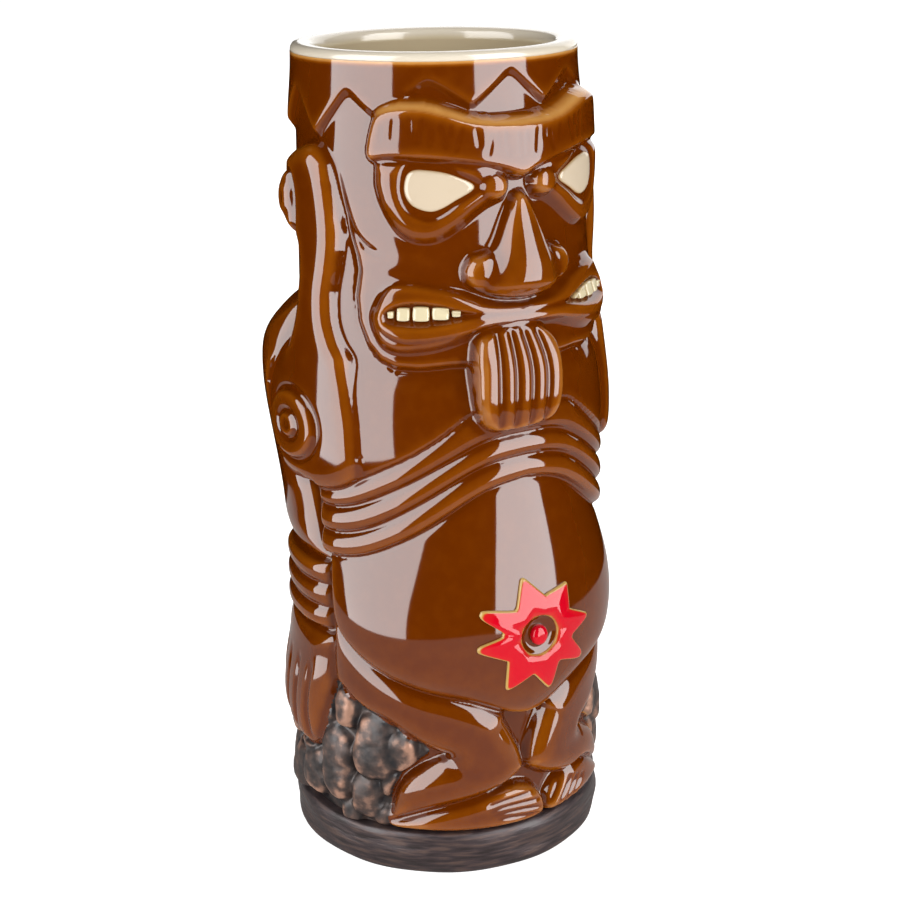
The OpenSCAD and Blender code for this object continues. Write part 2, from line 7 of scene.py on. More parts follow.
import bpy
import numpy as np
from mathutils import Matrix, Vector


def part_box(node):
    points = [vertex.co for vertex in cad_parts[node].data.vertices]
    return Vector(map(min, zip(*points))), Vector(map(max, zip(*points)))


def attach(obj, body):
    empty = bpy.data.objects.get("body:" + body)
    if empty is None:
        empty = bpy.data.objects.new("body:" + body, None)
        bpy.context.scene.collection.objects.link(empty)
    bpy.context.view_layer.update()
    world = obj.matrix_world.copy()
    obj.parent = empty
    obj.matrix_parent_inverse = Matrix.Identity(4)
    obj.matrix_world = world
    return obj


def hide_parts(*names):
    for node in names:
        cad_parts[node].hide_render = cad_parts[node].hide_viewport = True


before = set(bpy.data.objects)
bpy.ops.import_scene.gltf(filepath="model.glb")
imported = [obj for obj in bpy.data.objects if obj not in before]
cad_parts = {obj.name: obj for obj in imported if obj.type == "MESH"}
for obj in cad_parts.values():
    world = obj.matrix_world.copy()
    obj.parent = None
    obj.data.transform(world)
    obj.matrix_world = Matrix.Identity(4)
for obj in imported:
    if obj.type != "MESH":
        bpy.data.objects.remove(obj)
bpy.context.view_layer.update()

# ---- The mug's own sizes, read from the frame, in millimetres ----
MM = 0.001
GLAZE = 0.4                                     # thickness of the glaze that lines the cup
MUG_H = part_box("liner_glaze")[1].z / MM
PLINTH_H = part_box("plinth")[1].z / MM
PLINTH_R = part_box("plinth")[1].x / MM
FOOT_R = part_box("cup_body")[1].x / MM
RIM_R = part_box("liner_glaze")[1].x / MM - GLAZE
SHOULDER_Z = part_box("crown_band")[1].z / MM
FLOOR_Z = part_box("liner_glaze")[0].z / MM

DRAWN_H, DRAWN_PLINTH_H = 200.0, 11.5           # the mug that the figure is drawn on
DRAWN_SHOULDER = 198.2
MM_PER_DEGREE = 0.63                            # at the figure's mean radius


def cup_radius(z):
    """Outside radius of the cup at a drawn height."""
    share = (z - DRAWN_PLINTH_H) / (DRAWN_SHOULDER - DRAWN_PLINTH_H)
    return FOOT_R + (RIM_R - FOOT_R) * share


def real_height(z):
    """Height on this mug of a drawn height."""
    share = (z - DRAWN_PLINTH_H) / (DRAWN_SHOULDER - DRAWN_PLINTH_H)
    return PLINTH_H + (SHOULDER_Z - PLINTH_H) * share


# ---- Curves and profiles ----
def curve(pairs):
    """A smooth function through (position, value) pairs: a natural cubic spline."""
    x, y = np.array(sorted(pairs), float).T
    h = np.diff(x)
    n = len(x)
    lhs, rhs = np.eye(n), np.zeros(n)
    for i in range(1, n - 1):
        lhs[i, i - 1:i + 2] = h[i - 1], 2 * (h[i - 1] + h[i]), h[i]
        rhs[i] = 6 * ((y[i + 1] - y[i]) / h[i] - (y[i] - y[i - 1]) / h[i - 1])
    bend = np.linalg.solve(lhs, rhs)

    def value(at):
        at = np.clip(at, x[0], x[-1])
        i = np.clip(np.searchsorted(x, at) - 1, 0, n - 2)
        a, b = x[i + 1] - at, at - x[i]
        return ((bend[i] * a ** 3 + bend[i + 1] * b ** 3) / (6 * h[i])
                + (y[i] / h[i] - bend[i] * h[i] / 6) * a
                + (y[i + 1] / h[i] - bend[i + 1] * h[i] / 6) * b)
    return value


def catmull(points, closed, per=6):
    """Points along a smooth line through given ones."""
    p = np.array(points, float)
    n = len(p)
    i = np.arange(n if closed else n - 1)
    at = (lambda k: p[k % n]) if closed else (lambda k: p[np.clip(k, 0, n - 1)])
    t = (np.arange(per) / per)[None, :, None]
    q0, q1, q2, q3 = (at(i + k)[:, None] for k in (-1, 0, 1, 2))
    line = (2 * q1 + (q2 - q0) * t + (2 * q0 - 5 * q1 + 4 * q2 - q3) * t ** 2
            + (3 * q1 - q0 - 3 * q2 + q3) * t ** 3) / 2
    line = line.reshape(-1, 2)
    return line if closed else np.vstack([line, p[-1:]])


def roll(d, width):
    """A rounded edge: a quarter of an ellipse from 0 at the edge to 1 at its width."""
    return np.sqrt(1 - (1 - np.clip(d / width, 0, 1)) ** 2)


def ramp(d, width):
    """A soft step from 0 to 1 over a width."""
    t = np.clip(d / width, 0, 1)
    return t * t * (3 - 2 * t)


def bevel(d, width):
    """A straight step from 0 to 1 over a width."""
    return np.clip(d / width, 0, 1)


def bell(d, width):
    return np.exp(-(d / width) ** 2)


def rise_to(below, target, share, dip=0.5):
    """A surface that starts a little under the one below and reaches a target."""
    return below - dip * (1 - share) + (target - below) * share


def mirrored(half):
    """A whole outline from its left half, given from the front round and back to the front."""
    return [(-a, z) for a, z in reversed(half)] + list(half)


# ---- The field ----
class Field:
    """Radii round the cup. Rows are heights and columns angles; owner says whose surface shows."""
    ROW = 0.3                                   # mm between rows
    FINE, COARSE = 0.48, 1.2                    # degrees between columns in front and behind
    FRONT = 138                                 # the fine columns reach this far round

    def __init__(self):
        fine = np.arange(-self.FRONT, self.FRONT + self.FINE / 2, self.FINE)
        back = np.arange(fine[-1] + self.COARSE, fine[0] + 360 - self.COARSE / 2, self.COARSE)
        self.angles = np.concatenate([fine, back])
        rows = int((DRAWN_SHOULDER - DRAWN_PLINTH_H) / self.ROW) + 1
        self.heights = np.linspace(DRAWN_PLINTH_H, DRAWN_SHOULDER, rows)
        self.a, self.z = np.meshgrid((self.angles + 180) % 360 - 180, self.heights)
        self.cup = cup_radius(self.z)
        self.r = self.cup - 0.3
        self.owner = np.zeros(self.r.shape, int)
        self.names = ["outer_glaze"]

    def index(self, name):
        if name not in self.names:
            self.names.append(name)
        return self.names.index(name)

    def window(self, points, margin):
        """The part of the grid round some (mm, mm) points."""
        lo, hi = points.min(0) - margin, points.max(0) + margin
        cols = np.where((self.angles * MM_PER_DEGREE >= lo[0]) & (self.angles * MM_PER_DEGREE <= hi[0]))[0]
        rows = np.where((self.heights >= lo[1]) & (self.heights <= hi[1]))[0]
        return np.s_[rows[0]:rows[-1] + 1, cols[0]:cols[-1] + 1]

    def lay(self, name, outline, radius, sides=(1, -1), closed_smooth=True, rule="over"):
        """Lays a piece inside an outline. radius(d, a, z, r) gives its surface from the distance
        inside the outline, the angle, the height and the surface below."""
        for side in sides:
            shape = np.array([(side * a * MM_PER_DEGREE, z) for a, z in outline], float)
            shape = catmull(shape, True) if closed_smooth else shape
            w = self.window(shape, 0)
            d = inside_distance(shape, self.a[w] * MM_PER_DEGREE, self.z[w])
            new = radius(d, side * self.a[w], self.z[w], self.r[w])
            take = (d > 0) & ((new > self.r[w]) if rule == "over" else True)
            self.r[w] = np.where(take, new, self.r[w])
            if name:
                full = name if len(sides) == 1 else name + ("_left" if side > 0 else "_right")
                self.owner[w] = np.where(take, self.index(full), self.owner[w])

    def carve(self, line, depth, width, sides=(1, -1), closed=False, taper=0.0):
        """Cuts a groove of a depth along a line, or raises a ridge where the depth is negative."""
        for side in sides:
            path = catmull([(side * a * MM_PER_DEGREE, z) for a, z in line], closed)
            w = self.window(path, 3 * width)
            d, along = line_distance(path, self.a[w] * MM_PER_DEGREE, self.z[w], closed)
            fade = ramp(np.minimum(along, 1 - along), taper) if taper else 1
            self.r[w] -= depth * bell(d, width) * fade

    def soften(self, r, cells):
        """The field blurred by a number of cells each way, round the cup and along it."""
        reach = int(3 * cells) + 1
        k = np.exp(-0.5 * (np.arange(-reach, reach + 1) / cells) ** 2)
        k /= k.sum()
        round_cup = sum(w * np.roll(r, s, axis=1) for s, w in zip(range(-reach, reach + 1), k))
        padded = np.pad(round_cup, ((reach, reach), (0, 0)), mode="edge")
        return sum(w * padded[reach + s:reach + s + len(r)] for s, w in zip(range(-reach, reach + 1), k))

    def sample(self, grid, a, z):
        """Values of a grid at any angles and heights in front."""
        col = (np.asarray(a) - self.angles[0]) / self.FINE
        row = (np.asarray(z) - self.heights[0]) / (self.heights[1] - self.heights[0])
        c0 = np.clip(col.astype(int), 0, len(self.angles) - 2)
        r0 = np.clip(row.astype(int), 0, len(self.heights) - 2)
        u, v = col - c0, np.clip(row - r0, 0, 1)
        return ((grid[r0, c0] * (1 - u) + grid[r0, c0 + 1] * u) * (1 - v)
                + (grid[r0 + 1, c0] * (1 - u) + grid[r0 + 1, c0 + 1] * u) * v)


def segment_distance(p, q, x, y):
    """Distance of every point to one segment, and how far along it the nearest place is."""
    dx, dy = q - p
    t = np.clip(((x - p[0]) * dx + (y - p[1]) * dy) / (dx * dx + dy * dy + 1e-12), 0, 1)
    return np.hypot(x - p[0] - t * dx, y - p[1] - t * dy), t


def inside_distance(shape, x, y):
    """Distance inside a closed outline, negative outside it."""
    best = np.full(x.shape, 1e9)
    inside = np.zeros(x.shape, bool)
    for p, q in zip(shape, np.roll(shape, -1, axis=0)):
        best = np.minimum(best, segment_distance(p, q, x, y)[0])
        crosses = (p[1] > y) != (q[1] > y)
        with np.errstate(divide="ignore", invalid="ignore"):
            inside ^= crosses & (x < (q[0] - p[0]) * (y - p[1]) / (q[1] - p[1]) + p[0])
    return np.where(inside, best, -best)


def line_distance(path, x, y, closed):
    """Distance to a line, and the share of the line before the nearest place on it."""
    best, along = np.full(x.shape, 1e9), np.zeros(x.shape)
    ends = np.roll(path, -1, axis=0) if closed else path[1:]
    for i, (p, q) in enumerate(zip(path, ends)):
        d, t = segment_distance(p, q, x, y)
        along = np.where(d < best, (i + t) / len(ends), along)
        best = np.minimum(best, d)
    return best, along


def noise(seed, shape_mm, field, rough=1):
    """Soft random lumps over the field, about 1 high, of a given size in mm."""
    rng = np.random.default_rng(seed)
    total = 0
    for octave in range(rough):
        size = shape_mm / 2 ** octave
        cols = max(int(360 * MM_PER_DEGREE / size), 2)
        rows = int(200 / size) + 3
        lumps = rng.uniform(-1, 1, (rows, cols))
        u = (field.a % 360) * cols / 360
        v = field.z / size
        i, j = v.astype(int), u.astype(int)
        fu, fv = ramp(u - j, 1), ramp(v - i, 1)
        j, jn = j % cols, (j + 1) % cols
        total = total + 0.5 ** octave * ((lumps[i, j] * (1 - fu) + lumps[i, jn] * fu) * (1 - fv)
                                         + (lumps[i + 1, j] * (1 - fu) + lumps[i + 1, jn] * fu) * fv)
    return total


# ---- The figure ----
# Lines that divide the chest, the ribs and the belly: height by angle from the front
CHEST_LINE = curve([(0, 119.8), (10, 119.7), (19, 119.6), (26, 116.6), (34, 112.6), (44, 108.4),
                    (54, 104.8), (64, 101.3), (72, 99.8), (82, 99)])
RIB_LINE_1 = curve([(0, 114), (8, 113.7), (16, 112.3), (24, 109.6), (32, 106.5), (40, 103.3),
                    (50, 99.7), (60, 96.6), (70, 94.8), (82, 94.6)])
RIB_LINE_2 = curve([(0, 108.4), (8, 108), (16, 106.6), (24, 103.9), (32, 100.4), (40, 96.9),
                    (50, 92.9), (60, 89.9), (70, 88.3), (82, 88)])
BELLY_LINE = curve([(0, 102.9), (8, 102.1), (16, 100.3), (24, 97.2), (32, 93.5), (40, 90),
                    (50, 86.4), (60, 83.6), (70, 82.2), (82, 81.6)])
BELLY_FOOT = curve([(0, 42), (6, 42.8), (14, 45.2), (24, 48), (34, 49.6), (44, 51.6), (54, 54.4),
                    (62, 57.4), (70, 61.4), (78, 67)])
CHIN_LINE = [(0, 129.4), (14, 129.5), (26, 129.6), (37, 128.9), (46, 129.2), (52, 131), (57, 134.8),
             (61, 140), (62.6, 146), (61.4, 152)]


STAR_AT, BELLY_MM = (0.6, 64.4), 0.76           # degrees and mm; mm to a degree on the belly
NAVEL_R, BEAD_R = 4.9, 2.2                      # the dish inside the star, and the bead in it


def along(line, angles):
    """Points of an outline on a dividing line."""
    return [(a, float(line(np.array(a, float)))) for a in angles]


def sculpt_crown(f):
    """The band under the rim, with eleven notches cut up into its lower edge."""
    tooth = 360 / 11
    side = np.clip(np.abs(f.a) / 75, 0, 1)
    peak = 196.8 - 4.4 * side
    valley = 188.6 - 7.2 * ramp(np.abs(f.a) - 30, 45)
    phase = np.abs(f.a / tooth - np.round(f.a / tooth)) * 2
    zigzag = peak + (valley - peak) * np.sqrt(phase ** 2 + 0.012)
    slope = (valley - peak) * 2 / (tooth * MM_PER_DEGREE)
    d = (f.z - zigzag) / np.sqrt(1 + slope ** 2)
    d = f.soften(d, 1.8)
    f.r += (1.9 - 0.9 * ramp(f.z - 182, 15)) * bevel(d + 1.1, 1.7)
    f.owner[d > -1.1] = f.index("crown_band")


# Boulders in front of the heel: angle, height, half width and half height in mm, and rise
BOULDERS = [(70.8, 40.8, 3.2, 5.4, 3.4), (58.2, 32.6, 5.4, 8.2, 3.9), (46.4, 32.4, 3.6, 5, 3.2),
            (75.8, 25.4, 5.2, 10.2, 4.1), (61.6, 18.6, 4.2, 6.2, 3.5), (52.4, 23.4, 2.4, 4, 2.2),
            (69, 13.6, 3.4, 3.2, 2.4), (84.5, 40.5, 4.6, 6, 3.2), (55, 14.2, 2.6, 2.6, 2)]


def sculpt_rocks(f):
    """Rounded boulders heaped round the foot, with deep gaps between them."""
    rng = np.random.default_rng(7)
    heap = list(BOULDERS)
    for row, z in enumerate((17.5, 29.5, 40.5)):
        for a in np.arange(90 + 8 * (row % 2), 184, 15.5):
            heap.append((a + rng.uniform(-2.5, 2.5), z + rng.uniform(-2.5, 2.5), rng.uniform(4.2, 5.8),
                         rng.uniform(5.2, 8), rng.uniform(3.2, 4.1)))
    outline = [(42, 36.5), (48, 39.6), (60, 43), (70, 47.6), (76, 49), (84, 48), (96, 47.6), (112, 48.6),
               (128, 47), (144, 49), (162, 47.6), (180, 48.6), (188, 46), (188, 11), (52.4, 11),
               (52.6, 17), (51, 22), (47, 27), (41, 30.4), (37, 32.8)]
    lumps = noise(21, 5, f, 2)
    grain = noise(22, 1.6, f, 3)
    for side, name in ((1, "rocks_left"), (-1, "rocks_right")):
        shape = catmull([(a * MM_PER_DEGREE, z) for a, z in outline], True)
        tilts = np.random.default_rng(11)
        a = side * f.a
        a = np.where(a < -150, a + 360, a)
        inside = inside_distance(shape, a * MM_PER_DEGREE, f.z)
        high = np.full(a.shape, 0.35)
        for sa, sz, wide, tall, up in heap:
            x, y = (a - sa) * MM_PER_DEGREE / wide, (f.z - sz) / tall
            d = np.maximum((np.abs(x) ** 3 + np.abs(y) ** 3) ** (1 / 3) * 0.95 + 0.13 * lumps, 0)
            tilt_x, tilt_y = tilts.uniform(-0.2, 0.2, 2)
            lean = up * (1 + (0.1 + tilt_x) * x + (tilt_y - 0.08) * y)
            high = np.maximum(high, 0.2 + lean * np.sqrt(np.clip(1 - d ** 3.4, 0, 1)))
        high = high + 0.12 * grain * ramp(high, 1.5)
        take = (inside > 0) & (np.abs(a) < 181)
        f.r = np.where(take, f.cup + high, f.r)
        f.owner = np.where(take, f.index(name), f.owner)


def sculpt_arms(f):
    """The arms hang at the sides, behind the ears, with ringed wrists and hands on the rocks."""
    shoulder = [(95, 141), (104, 142.6), (113, 141.6), (122, 137.4), (129, 130), (133, 120), (134.5, 108),
                (133.5, 96), (131, 86), (129.5, 78.6), (78.4, 78.6), (79.5, 83), (82, 90), (84, 97),
                (86, 102), (90, 118), (92, 130)]
    proud = curve([(78, 4.2), (86, 4.5), (94, 5.3), (102, 6.5), (110, 7.8), (118, 8.9), (125, 9.2),
                   (133, 8), (139, 5), (143, 2.4)])
    f.lay("arm", shoulder, lambda d, a, z, r: rise_to(r, cup_radius(z) + proud(z), roll(d, 9.5)),
          rule="set")
    for i in range(3):
        low = 60.6 + 6 * i
        ring = [(77.6, low + 6), (77.6, low), (129, low), (129.5, low + 6)]
        f.lay("wrist_bands", ring, lambda d, a, z, r, low=low:
              cup_radius(z) + 0.9 + 3.3 * roll(np.minimum(a - 77.4, 129.6 - a) * MM_PER_DEGREE, 9)
              * roll(np.minimum(z - low + 0.5, low + 6.5 - z), 3.2),
              closed_smooth=False, rule="set")
    palm = [(77, 60.4), (76.4, 54), (76.4, 48), (78, 42), (80.4, 36), (83.4, 30.8), (87.5, 27.3),
            (93, 26.4), (102, 27.2), (111, 30.2), (118, 35), (123, 41.5), (126.5, 49), (128.5, 60.4)]
    grip = curve([(26, 4.6), (32, 5.7), (38, 6.1), (46, 5.3), (53, 4.1), (61, 3.7)])
    f.lay("hand", palm, lambda d, a, z, r: rise_to(cup_radius(z) + 1, cup_radius(z) + grip(z),
                                                   roll(d, 6.5)),
          rule="set")
    for start, end in ((86, 88.4), (95.5, 95.6), (105, 103), (114.4, 111)):
        f.carve([(start, 52), ((start + end) / 2, 41), (end, 27)], 1, 0.6, taper=0.3)
    f.carve([(77.5, 60.5), (100, 60.5), (129, 60.5)], 0.7, 0.8)
    f.carve([(78, 78.6), (100, 78.6), (130, 78.6)], 0.7, 0.8)


def sculpt_torso(f):
    """Chest, three folds of rib and the belly."""
    chest_r = curve([(98, 39.2), (104, 39.9), (110, 40.2), (117, 39.9), (122, 39.2), (126, 38.2),
                     (130, 36.6), (135, 36.3), (141, 35.9), (150, 35.4), (160, 35)])
    chest = (along(CHEST_LINE, (0, 8, 15, 20, 26, 32, 40, 48, 56, 64, 72)) + [(77, 101), (77, 120),
                                                                              (77, 140), (76, 158),
                                                                              (73, 171), (68.6, 170),
                                                                              (64.6,
                                                                               162)] + CHIN_LINE[::-1])
    f.lay("chest", mirrored(chest), lambda d, a, z, r: chest_r(z), sides=(1,), rule="set")
    lines = [CHEST_LINE, RIB_LINE_1, RIB_LINE_2, BELLY_LINE]
    reach = (0, 4, 8, 12, 16, 20, 24, 28, 32, 36, 40, 44, 48, 52, 56, 60, 64, 68, 72, 76, 80)
    for name, high, low in zip(("rib_fold_upper", "rib_fold_middle", "rib_fold_lower"), lines, lines[1:]):
        fold = along(high, reach) + along(low, reach[::-1])

        def rib(d, a, z, r, high=high, low=low):
            a = np.abs(a)
            s = np.clip((z - low(a)) / (high(a) - low(a)), 0, 1)
            round_in = np.where(s > 0.42, (s - 0.42) / 0.58, (0.42 - s) / 0.42)
            side = roll((81 - a) * MM_PER_DEGREE, 7)
            return (37.9 + 0.5 * bell(a, 40) + 2.2 * np.sqrt(1 - 0.999 * round_in ** 2) * side
                    - 1.5 * (1 - side))
        f.lay(name, mirrored(fold), rib, sides=(1,), closed_smooth=False, rule="set")
    belly = (along(BELLY_LINE, reach[:-1]) + [(75.4, 78), (74.2, 73), (73, 67), (71.5, 63)]
             + along(BELLY_FOOT, (68, 62, 56, 50, 44, 38, 32, 26, 20, 14, 8, 4, 0)))
    swell_up = curve([(0, 0.34), (0.1, 0.80), (0.2, 0.955), (0.3, 1), (0.42, 0.97), (0.6, 0.8),
                      (0.8, 0.47), (1, 0.06)])
    swell_round = curve([(0, 6.7), (20, 6.5), (40, 5.6), (55, 4.6), (66, 3.2), (76, 1.2)])

    def gut(d, a, z, r):
        a = np.abs(a)
        s = np.clip((z - BELLY_FOOT(a)) / (BELLY_LINE(a) - BELLY_FOOT(a)), 0, 1)
        return 37.9 + swell_round(a) * swell_up(s) - 0.9 * (1 - roll(d, 1.8))
    f.lay("belly", mirrored(belly), gut, sides=(1,), closed_smooth=False, rule="set")
    navel = np.hypot((f.a - STAR_AT[0]) * BELLY_MM, f.z - STAR_AT[1])
    f.r -= 0.9 * ramp(NAVEL_R + 0.4 - navel, 1.6)


def sculpt_legs(f):
    """Bent legs: thighs under the belly, shins folded back to the heels, feet turned in."""
    reach = (8.6, 14, 20, 28, 36, 44, 52, 60, 68)
    leg = (along(lambda a: BELLY_FOOT(a) - 0.1, reach)
           + [(74.6, 64), (76.4, 56), (75.4, 48), (70, 45.6), (65, 43.6), (60, 42), (55, 40.9),
              (50, 39.2), (45, 37.2), (40, 35.4), (34, 33.6), (29.6, 32.4), (33, 31.4), (38, 29.8),
              (44, 27.2), (48, 24), (50.6, 20.4), (52, 16.6), (52.2, 13.2), (46, 14.6), (38, 16.8),
              (30, 18.6), (20, 20.4), (10, 22.6), (4, 24.8), (0.3, 27.2), (0.5, 30), (2.4, 33.6),
              (5.2, 37.6), (7.4, 40.6)])
    thick = curve([(0, 4.9), (8, 5), (18, 4.7), (30, 4.2), (45, 3.6), (60, 2.9), (78, 1.9)])
    f.lay("leg", leg, lambda d, a, z, r: rise_to(r, 36.7 + thick(a), roll(d, 5.4))
          - 0.6 * bell(z - 30.6 + 0.05 * a, 2.4) * ramp(a - 12, 18), rule="set")
    foot_right = [(52, 13.6), (46, 15), (38, 17.2), (30, 18.9), (22, 20.2), (14, 21.6), (6, 22.6),
                  (-1, 21.8), (-6, 19.4), (-8.8, 16), (-8.6, 12.8), (-4, 11.7), (8, 11.6), (24, 11.7),
                  (40, 11.9), (51, 12.2)]
    foot_left = [(52, 13.6), (47, 16), (41, 18.6), (34, 21.6), (27, 23), (20, 21.6), (14, 18.8),
                 (10.4, 15.6), (9.6, 12.8), (13, 11.7), (24, 11.7), (40, 11.8), (51, 12.2)]
    for name, outline, side in (("foot_right", foot_right, -1), ("foot_left", foot_left, 1)):
        f.lay(name, outline, lambda d, a, z, r: 37.1 + 3.5 * roll(d, 3.6), sides=(side,), rule="set")
    for line in (((17, 18.6), (6, 19.6), (-5, 19.8)), ((16, 17.4), (5, 17.8), (-8, 17.4)),
                 ((15, 16.2), (4, 16), (-8.6, 15.2)), ((14, 15), (4, 14.3), (-7.6, 13.2))):
        f.carve(line, 1.3, 0.55, sides=(-1,), taper=0.4)
    for line in (((19, 21), (14, 16.8), (10.6, 13.4)), ((22.6, 20.6), (18, 16.2), (13.8, 12.6)),
                 ((26, 19.8), (22, 15.8), (17.8, 12.5)), ((29.6, 18.6), (26, 15.4), (22, 12.5))):
        f.carve(line, 1.3, 0.55, sides=(1,), taper=0.4)


def sculpt_face(f):
    """Cheeks, mouth, eyes, nose and brow."""
    # The head swells under the brow
    head = 2.5 * ramp(191 - f.z, 26) * ramp(84 - np.abs(f.a), 12) * ramp(f.z - 126, 6)
    f.r += np.where((f.owner == 0) | (f.owner == f.index("crown_band")), head, 0)
    face_r = curve([(128, 38.4), (134, 38.4), (141, 37.6), (149, 36.6), (157, 36.1), (165, 35.8),
                    (172, 35), (180, 33.4)])
    shield = ([(0, 179), (30, 179), (56, 179), (71, 177), (73, 172), (69, 166), (65, 160), (62.4, 155)]
              + CHIN_LINE[::-1])

    def cheek(d, a, z, r):
        step = face_r(z) - 2.4 * (1 - bevel(d, 2.2)) * (1 - ramp(z - 166, 8))
        return step + (np.maximum(r, step) - step) * ramp(z - 156, 16)
    f.lay("face_shield", mirrored(shield), cheek, sides=(1,), closed_smooth=False, rule="set")
    # The cheekbone's ledge, and the fold from the nostril round the mouth
    f.carve([(70, 176), (66.6, 168.6), (63.2, 162.4), (59, 158.6), (54, 156.6), (49, 156)], 1.1, 0.85,
            taper=0.4)
    f.carve([(20, 151.8), (30, 151.8), (38, 151.8), (46, 152.4), (53, 154)], 0.3, 1.5, taper=0.5)
    f.carve([(24, 155.6), (34, 155.8), (44, 156.4), (50, 157)], -0.2, 2.2, taper=0.5)
    chin = inside_distance(catmull([(a * MM_PER_DEGREE, z) for a, z in mirrored(shield)], True),
                           f.a * MM_PER_DEGREE, f.z)
    f.owner[(f.owner == f.index("face_shield")) & (chin < 2.2) & (f.z < 153)] = f.index("chin_roll")
    # Muzzle: a mound round the mouth, its underside the jowl
    jowl = [(0, 138.4), (12, 138.2), (20, 136.7), (28, 135), (36, 134), (44, 133.8), (49.6, 135.2),
            (53, 138.2), (54.6, 141.8), (53.4, 145.4), (51, 148.6), (47.5, 150.6), (42, 150.9),
            (34, 150.4), (26, 149.4), (19, 147.6), (12, 146), (0, 145.2)]
    f.lay("jowl", mirrored(jowl), lambda d, a, z, r: r + (2.2 - 1.2 * ramp(z - 141, 8)) * bevel(d, 2.2),
          sides=(1,))
    lips = [(0, 140), (12, 139.9), (20, 139), (28, 138), (36, 137.3), (43, 137.4), (48.6, 139.4),
            (50.4, 142.4), (49.6, 146), (46.6, 149), (42, 149.8), (34, 149.4), (26, 148.5), (18, 147),
            (10, 145.1), (0, 144.6)]
    f.lay("lips", mirrored(lips), lambda d, a, z, r: r + 0.8 * roll(d, 1.2), sides=(1,), rule="set")
    f.carve(mirrored([(0, 142.6), (8, 142.8), (16, 142.9), (21, 142.8)]), 0.55, 0.5, sides=(1,),
            taper=0.1)
    mouth = [(17, 142.8), (24, 144.4), (30, 145.5), (37, 146), (43, 145.6), (47.6, 144.2), (49, 142.4),
             (47.4, 140.8), (42, 140.2), (34, 140.2), (26, 141)]
    f.lay("mouth", mouth, lambda d, a, z, r: r - 2.0 * bevel(d, 1.2), rule="set")
    # Eye mounds: two steps up, then a shallow dish for the eye
    orbit = [(5, 168.6), (9, 167.2), (12, 166.4), (16, 164.7), (20, 162.6), (25, 160.3), (30, 158.8),
             (35, 158.4), (40, 159.1), (45, 161.4), (49.5, 165.8), (52, 170.4), (52.4, 174), (50, 178),
             (30, 178), (12, 178), (5, 174)]
    f.lay("eye_socket", orbit, lambda d, a, z, r: 35.9 + 2.1 * bevel(d, 2.1) + 0.5 * ramp(d - 2, 1.6))
    dish = [(a + (a - 30) * 0.24, z + (z - 171) * 0.5) for a, z in EYE_LINE]
    f.lay(None, dish, lambda d, a, z, r: r - 0.9 * bevel(d, 0.9), rule="set")
    for side, name in ((1, "bridge_bead_left"), (-1, "bridge_bead_right")):
        bead = [(9.6 + 5.3 * math.cos(t),
                 171.2 + 3.2 * math.sin(t)) for t in np.linspace(0, 2 * np.pi, 12)[:-1]]
        f.lay(name, bead, lambda d, a, z, r: rise_to(r, 39.5, roll(d, 3.2), 0.6), sides=(side,),
              rule="set")
    # Nose: a rounded wedge, with a ball for each wing and a shelf beneath
    nose = [(0, 169.8), (3, 168.8), (7, 164), (10.6, 159), (14.6, 157), (19, 156), (22, 152.8),
            (20.4, 149.2), (15, 147), (8, 145.7), (0, 145.1)]
    ridge = curve([(144, 42), (147, 43.4), (150, 44.2), (154, 44.2), (158, 43), (163, 41), (169, 38.4),
                   (171, 37.4)])
    flank = curve([(144, 17), (150, 17), (154, 14.4), (158, 11.4), (163, 8.6), (168, 5.2), (171, 3)])

    def nose_radius(d, a, z, r):
        across = np.clip(np.abs(a) / flank(z), 0, 1)
        body = 36.6 + (ridge(z) - 36.6) * (1 - across ** 2.3)
        ball = np.clip(1 - ((np.abs(a) - 15.2) / 7.6) ** 2 - ((z - 152.3) / 5.4) ** 2, 0, 1)
        both = np.logaddexp(1.5 * body, 1.5 * (35.8 + 4.9 * np.sqrt(ball))) / 1.5 - 0.25
        shelf = 0.5 + 0.5 * bevel(z - 145, 4.2)
        return rise_to(r, both, shelf * roll(d, 1.8), 0.3)
    f.lay("nose", mirrored(nose), nose_radius, sides=(1,), rule="set")
    sculpt_brow(f)


EYE_LINE = [(40.8, 171), (40, 174), (37.6, 175.3), (33, 175.3), (27, 174.7), (21.6, 173.4), (18.2, 172.3),
            (17.2, 171.3), (18.8, 170.2), (23.4, 168.6), (28, 166.9), (32, 166.2), (36.4, 166.9),
            (39.4, 168.4)]


def sculpt_brow(f):
    """A heavy bar over the eyes: pale bevel on top, cut with short grooves, and a bevel below."""
    top = [(0, 185.9), (10, 186.2), (18, 187), (26, 188.6), (33, 189.8), (41, 190), (48.6, 189),
           (52.6, 187.2), (55, 183), (56, 178.4)]
    under = [(53, 176.4), (45, 176.9), (35, 176.9), (25, 176.3), (15, 175.2), (7, 173.8), (2.6, 172.7),
             (0, 172.4)]
    front = curve([(0, 38.9), (20, 38.8), (40, 38.4), (56, 37.6)])

    def bar(d, a, z, r):
        lean = 0.05 * (z - 181)
        return front(np.abs(a)) - lean - 2.9 * (1 - bevel(d + 0.3, 2.0))
    f.lay("brow", mirrored(top + under), bar, sides=(1,))
    strokes = ((28.6, 186, 26.4, 179.6), (20.6, 185.4, 23.6, 178.6), (11, 183.4, 13, 177.6),
               (6.4, 184, 5.4, 177.6), (16.6, 184.6, 15.6, 179.8), (34, 187, 36, 181),
               (38.6, 187.2, 38.2, 182.6), (43.6, 187, 44.4, 181.4), (1.6, 183.4, 1, 177),
               (31, 184.6, 31.8, 180.4), (9, 183.6, 9.2, 180.6), (48.2, 185.6, 49, 181.4),
               (24.6, 185.6, 24.8, 182.4))
    for a0, z0, a1, z1 in strokes:
        f.carve([(a0, z0), ((a0 + a1) / 2, (z0 + z1) / 2), (a1, z1)], 0.2, 0.34, taper=0.22)


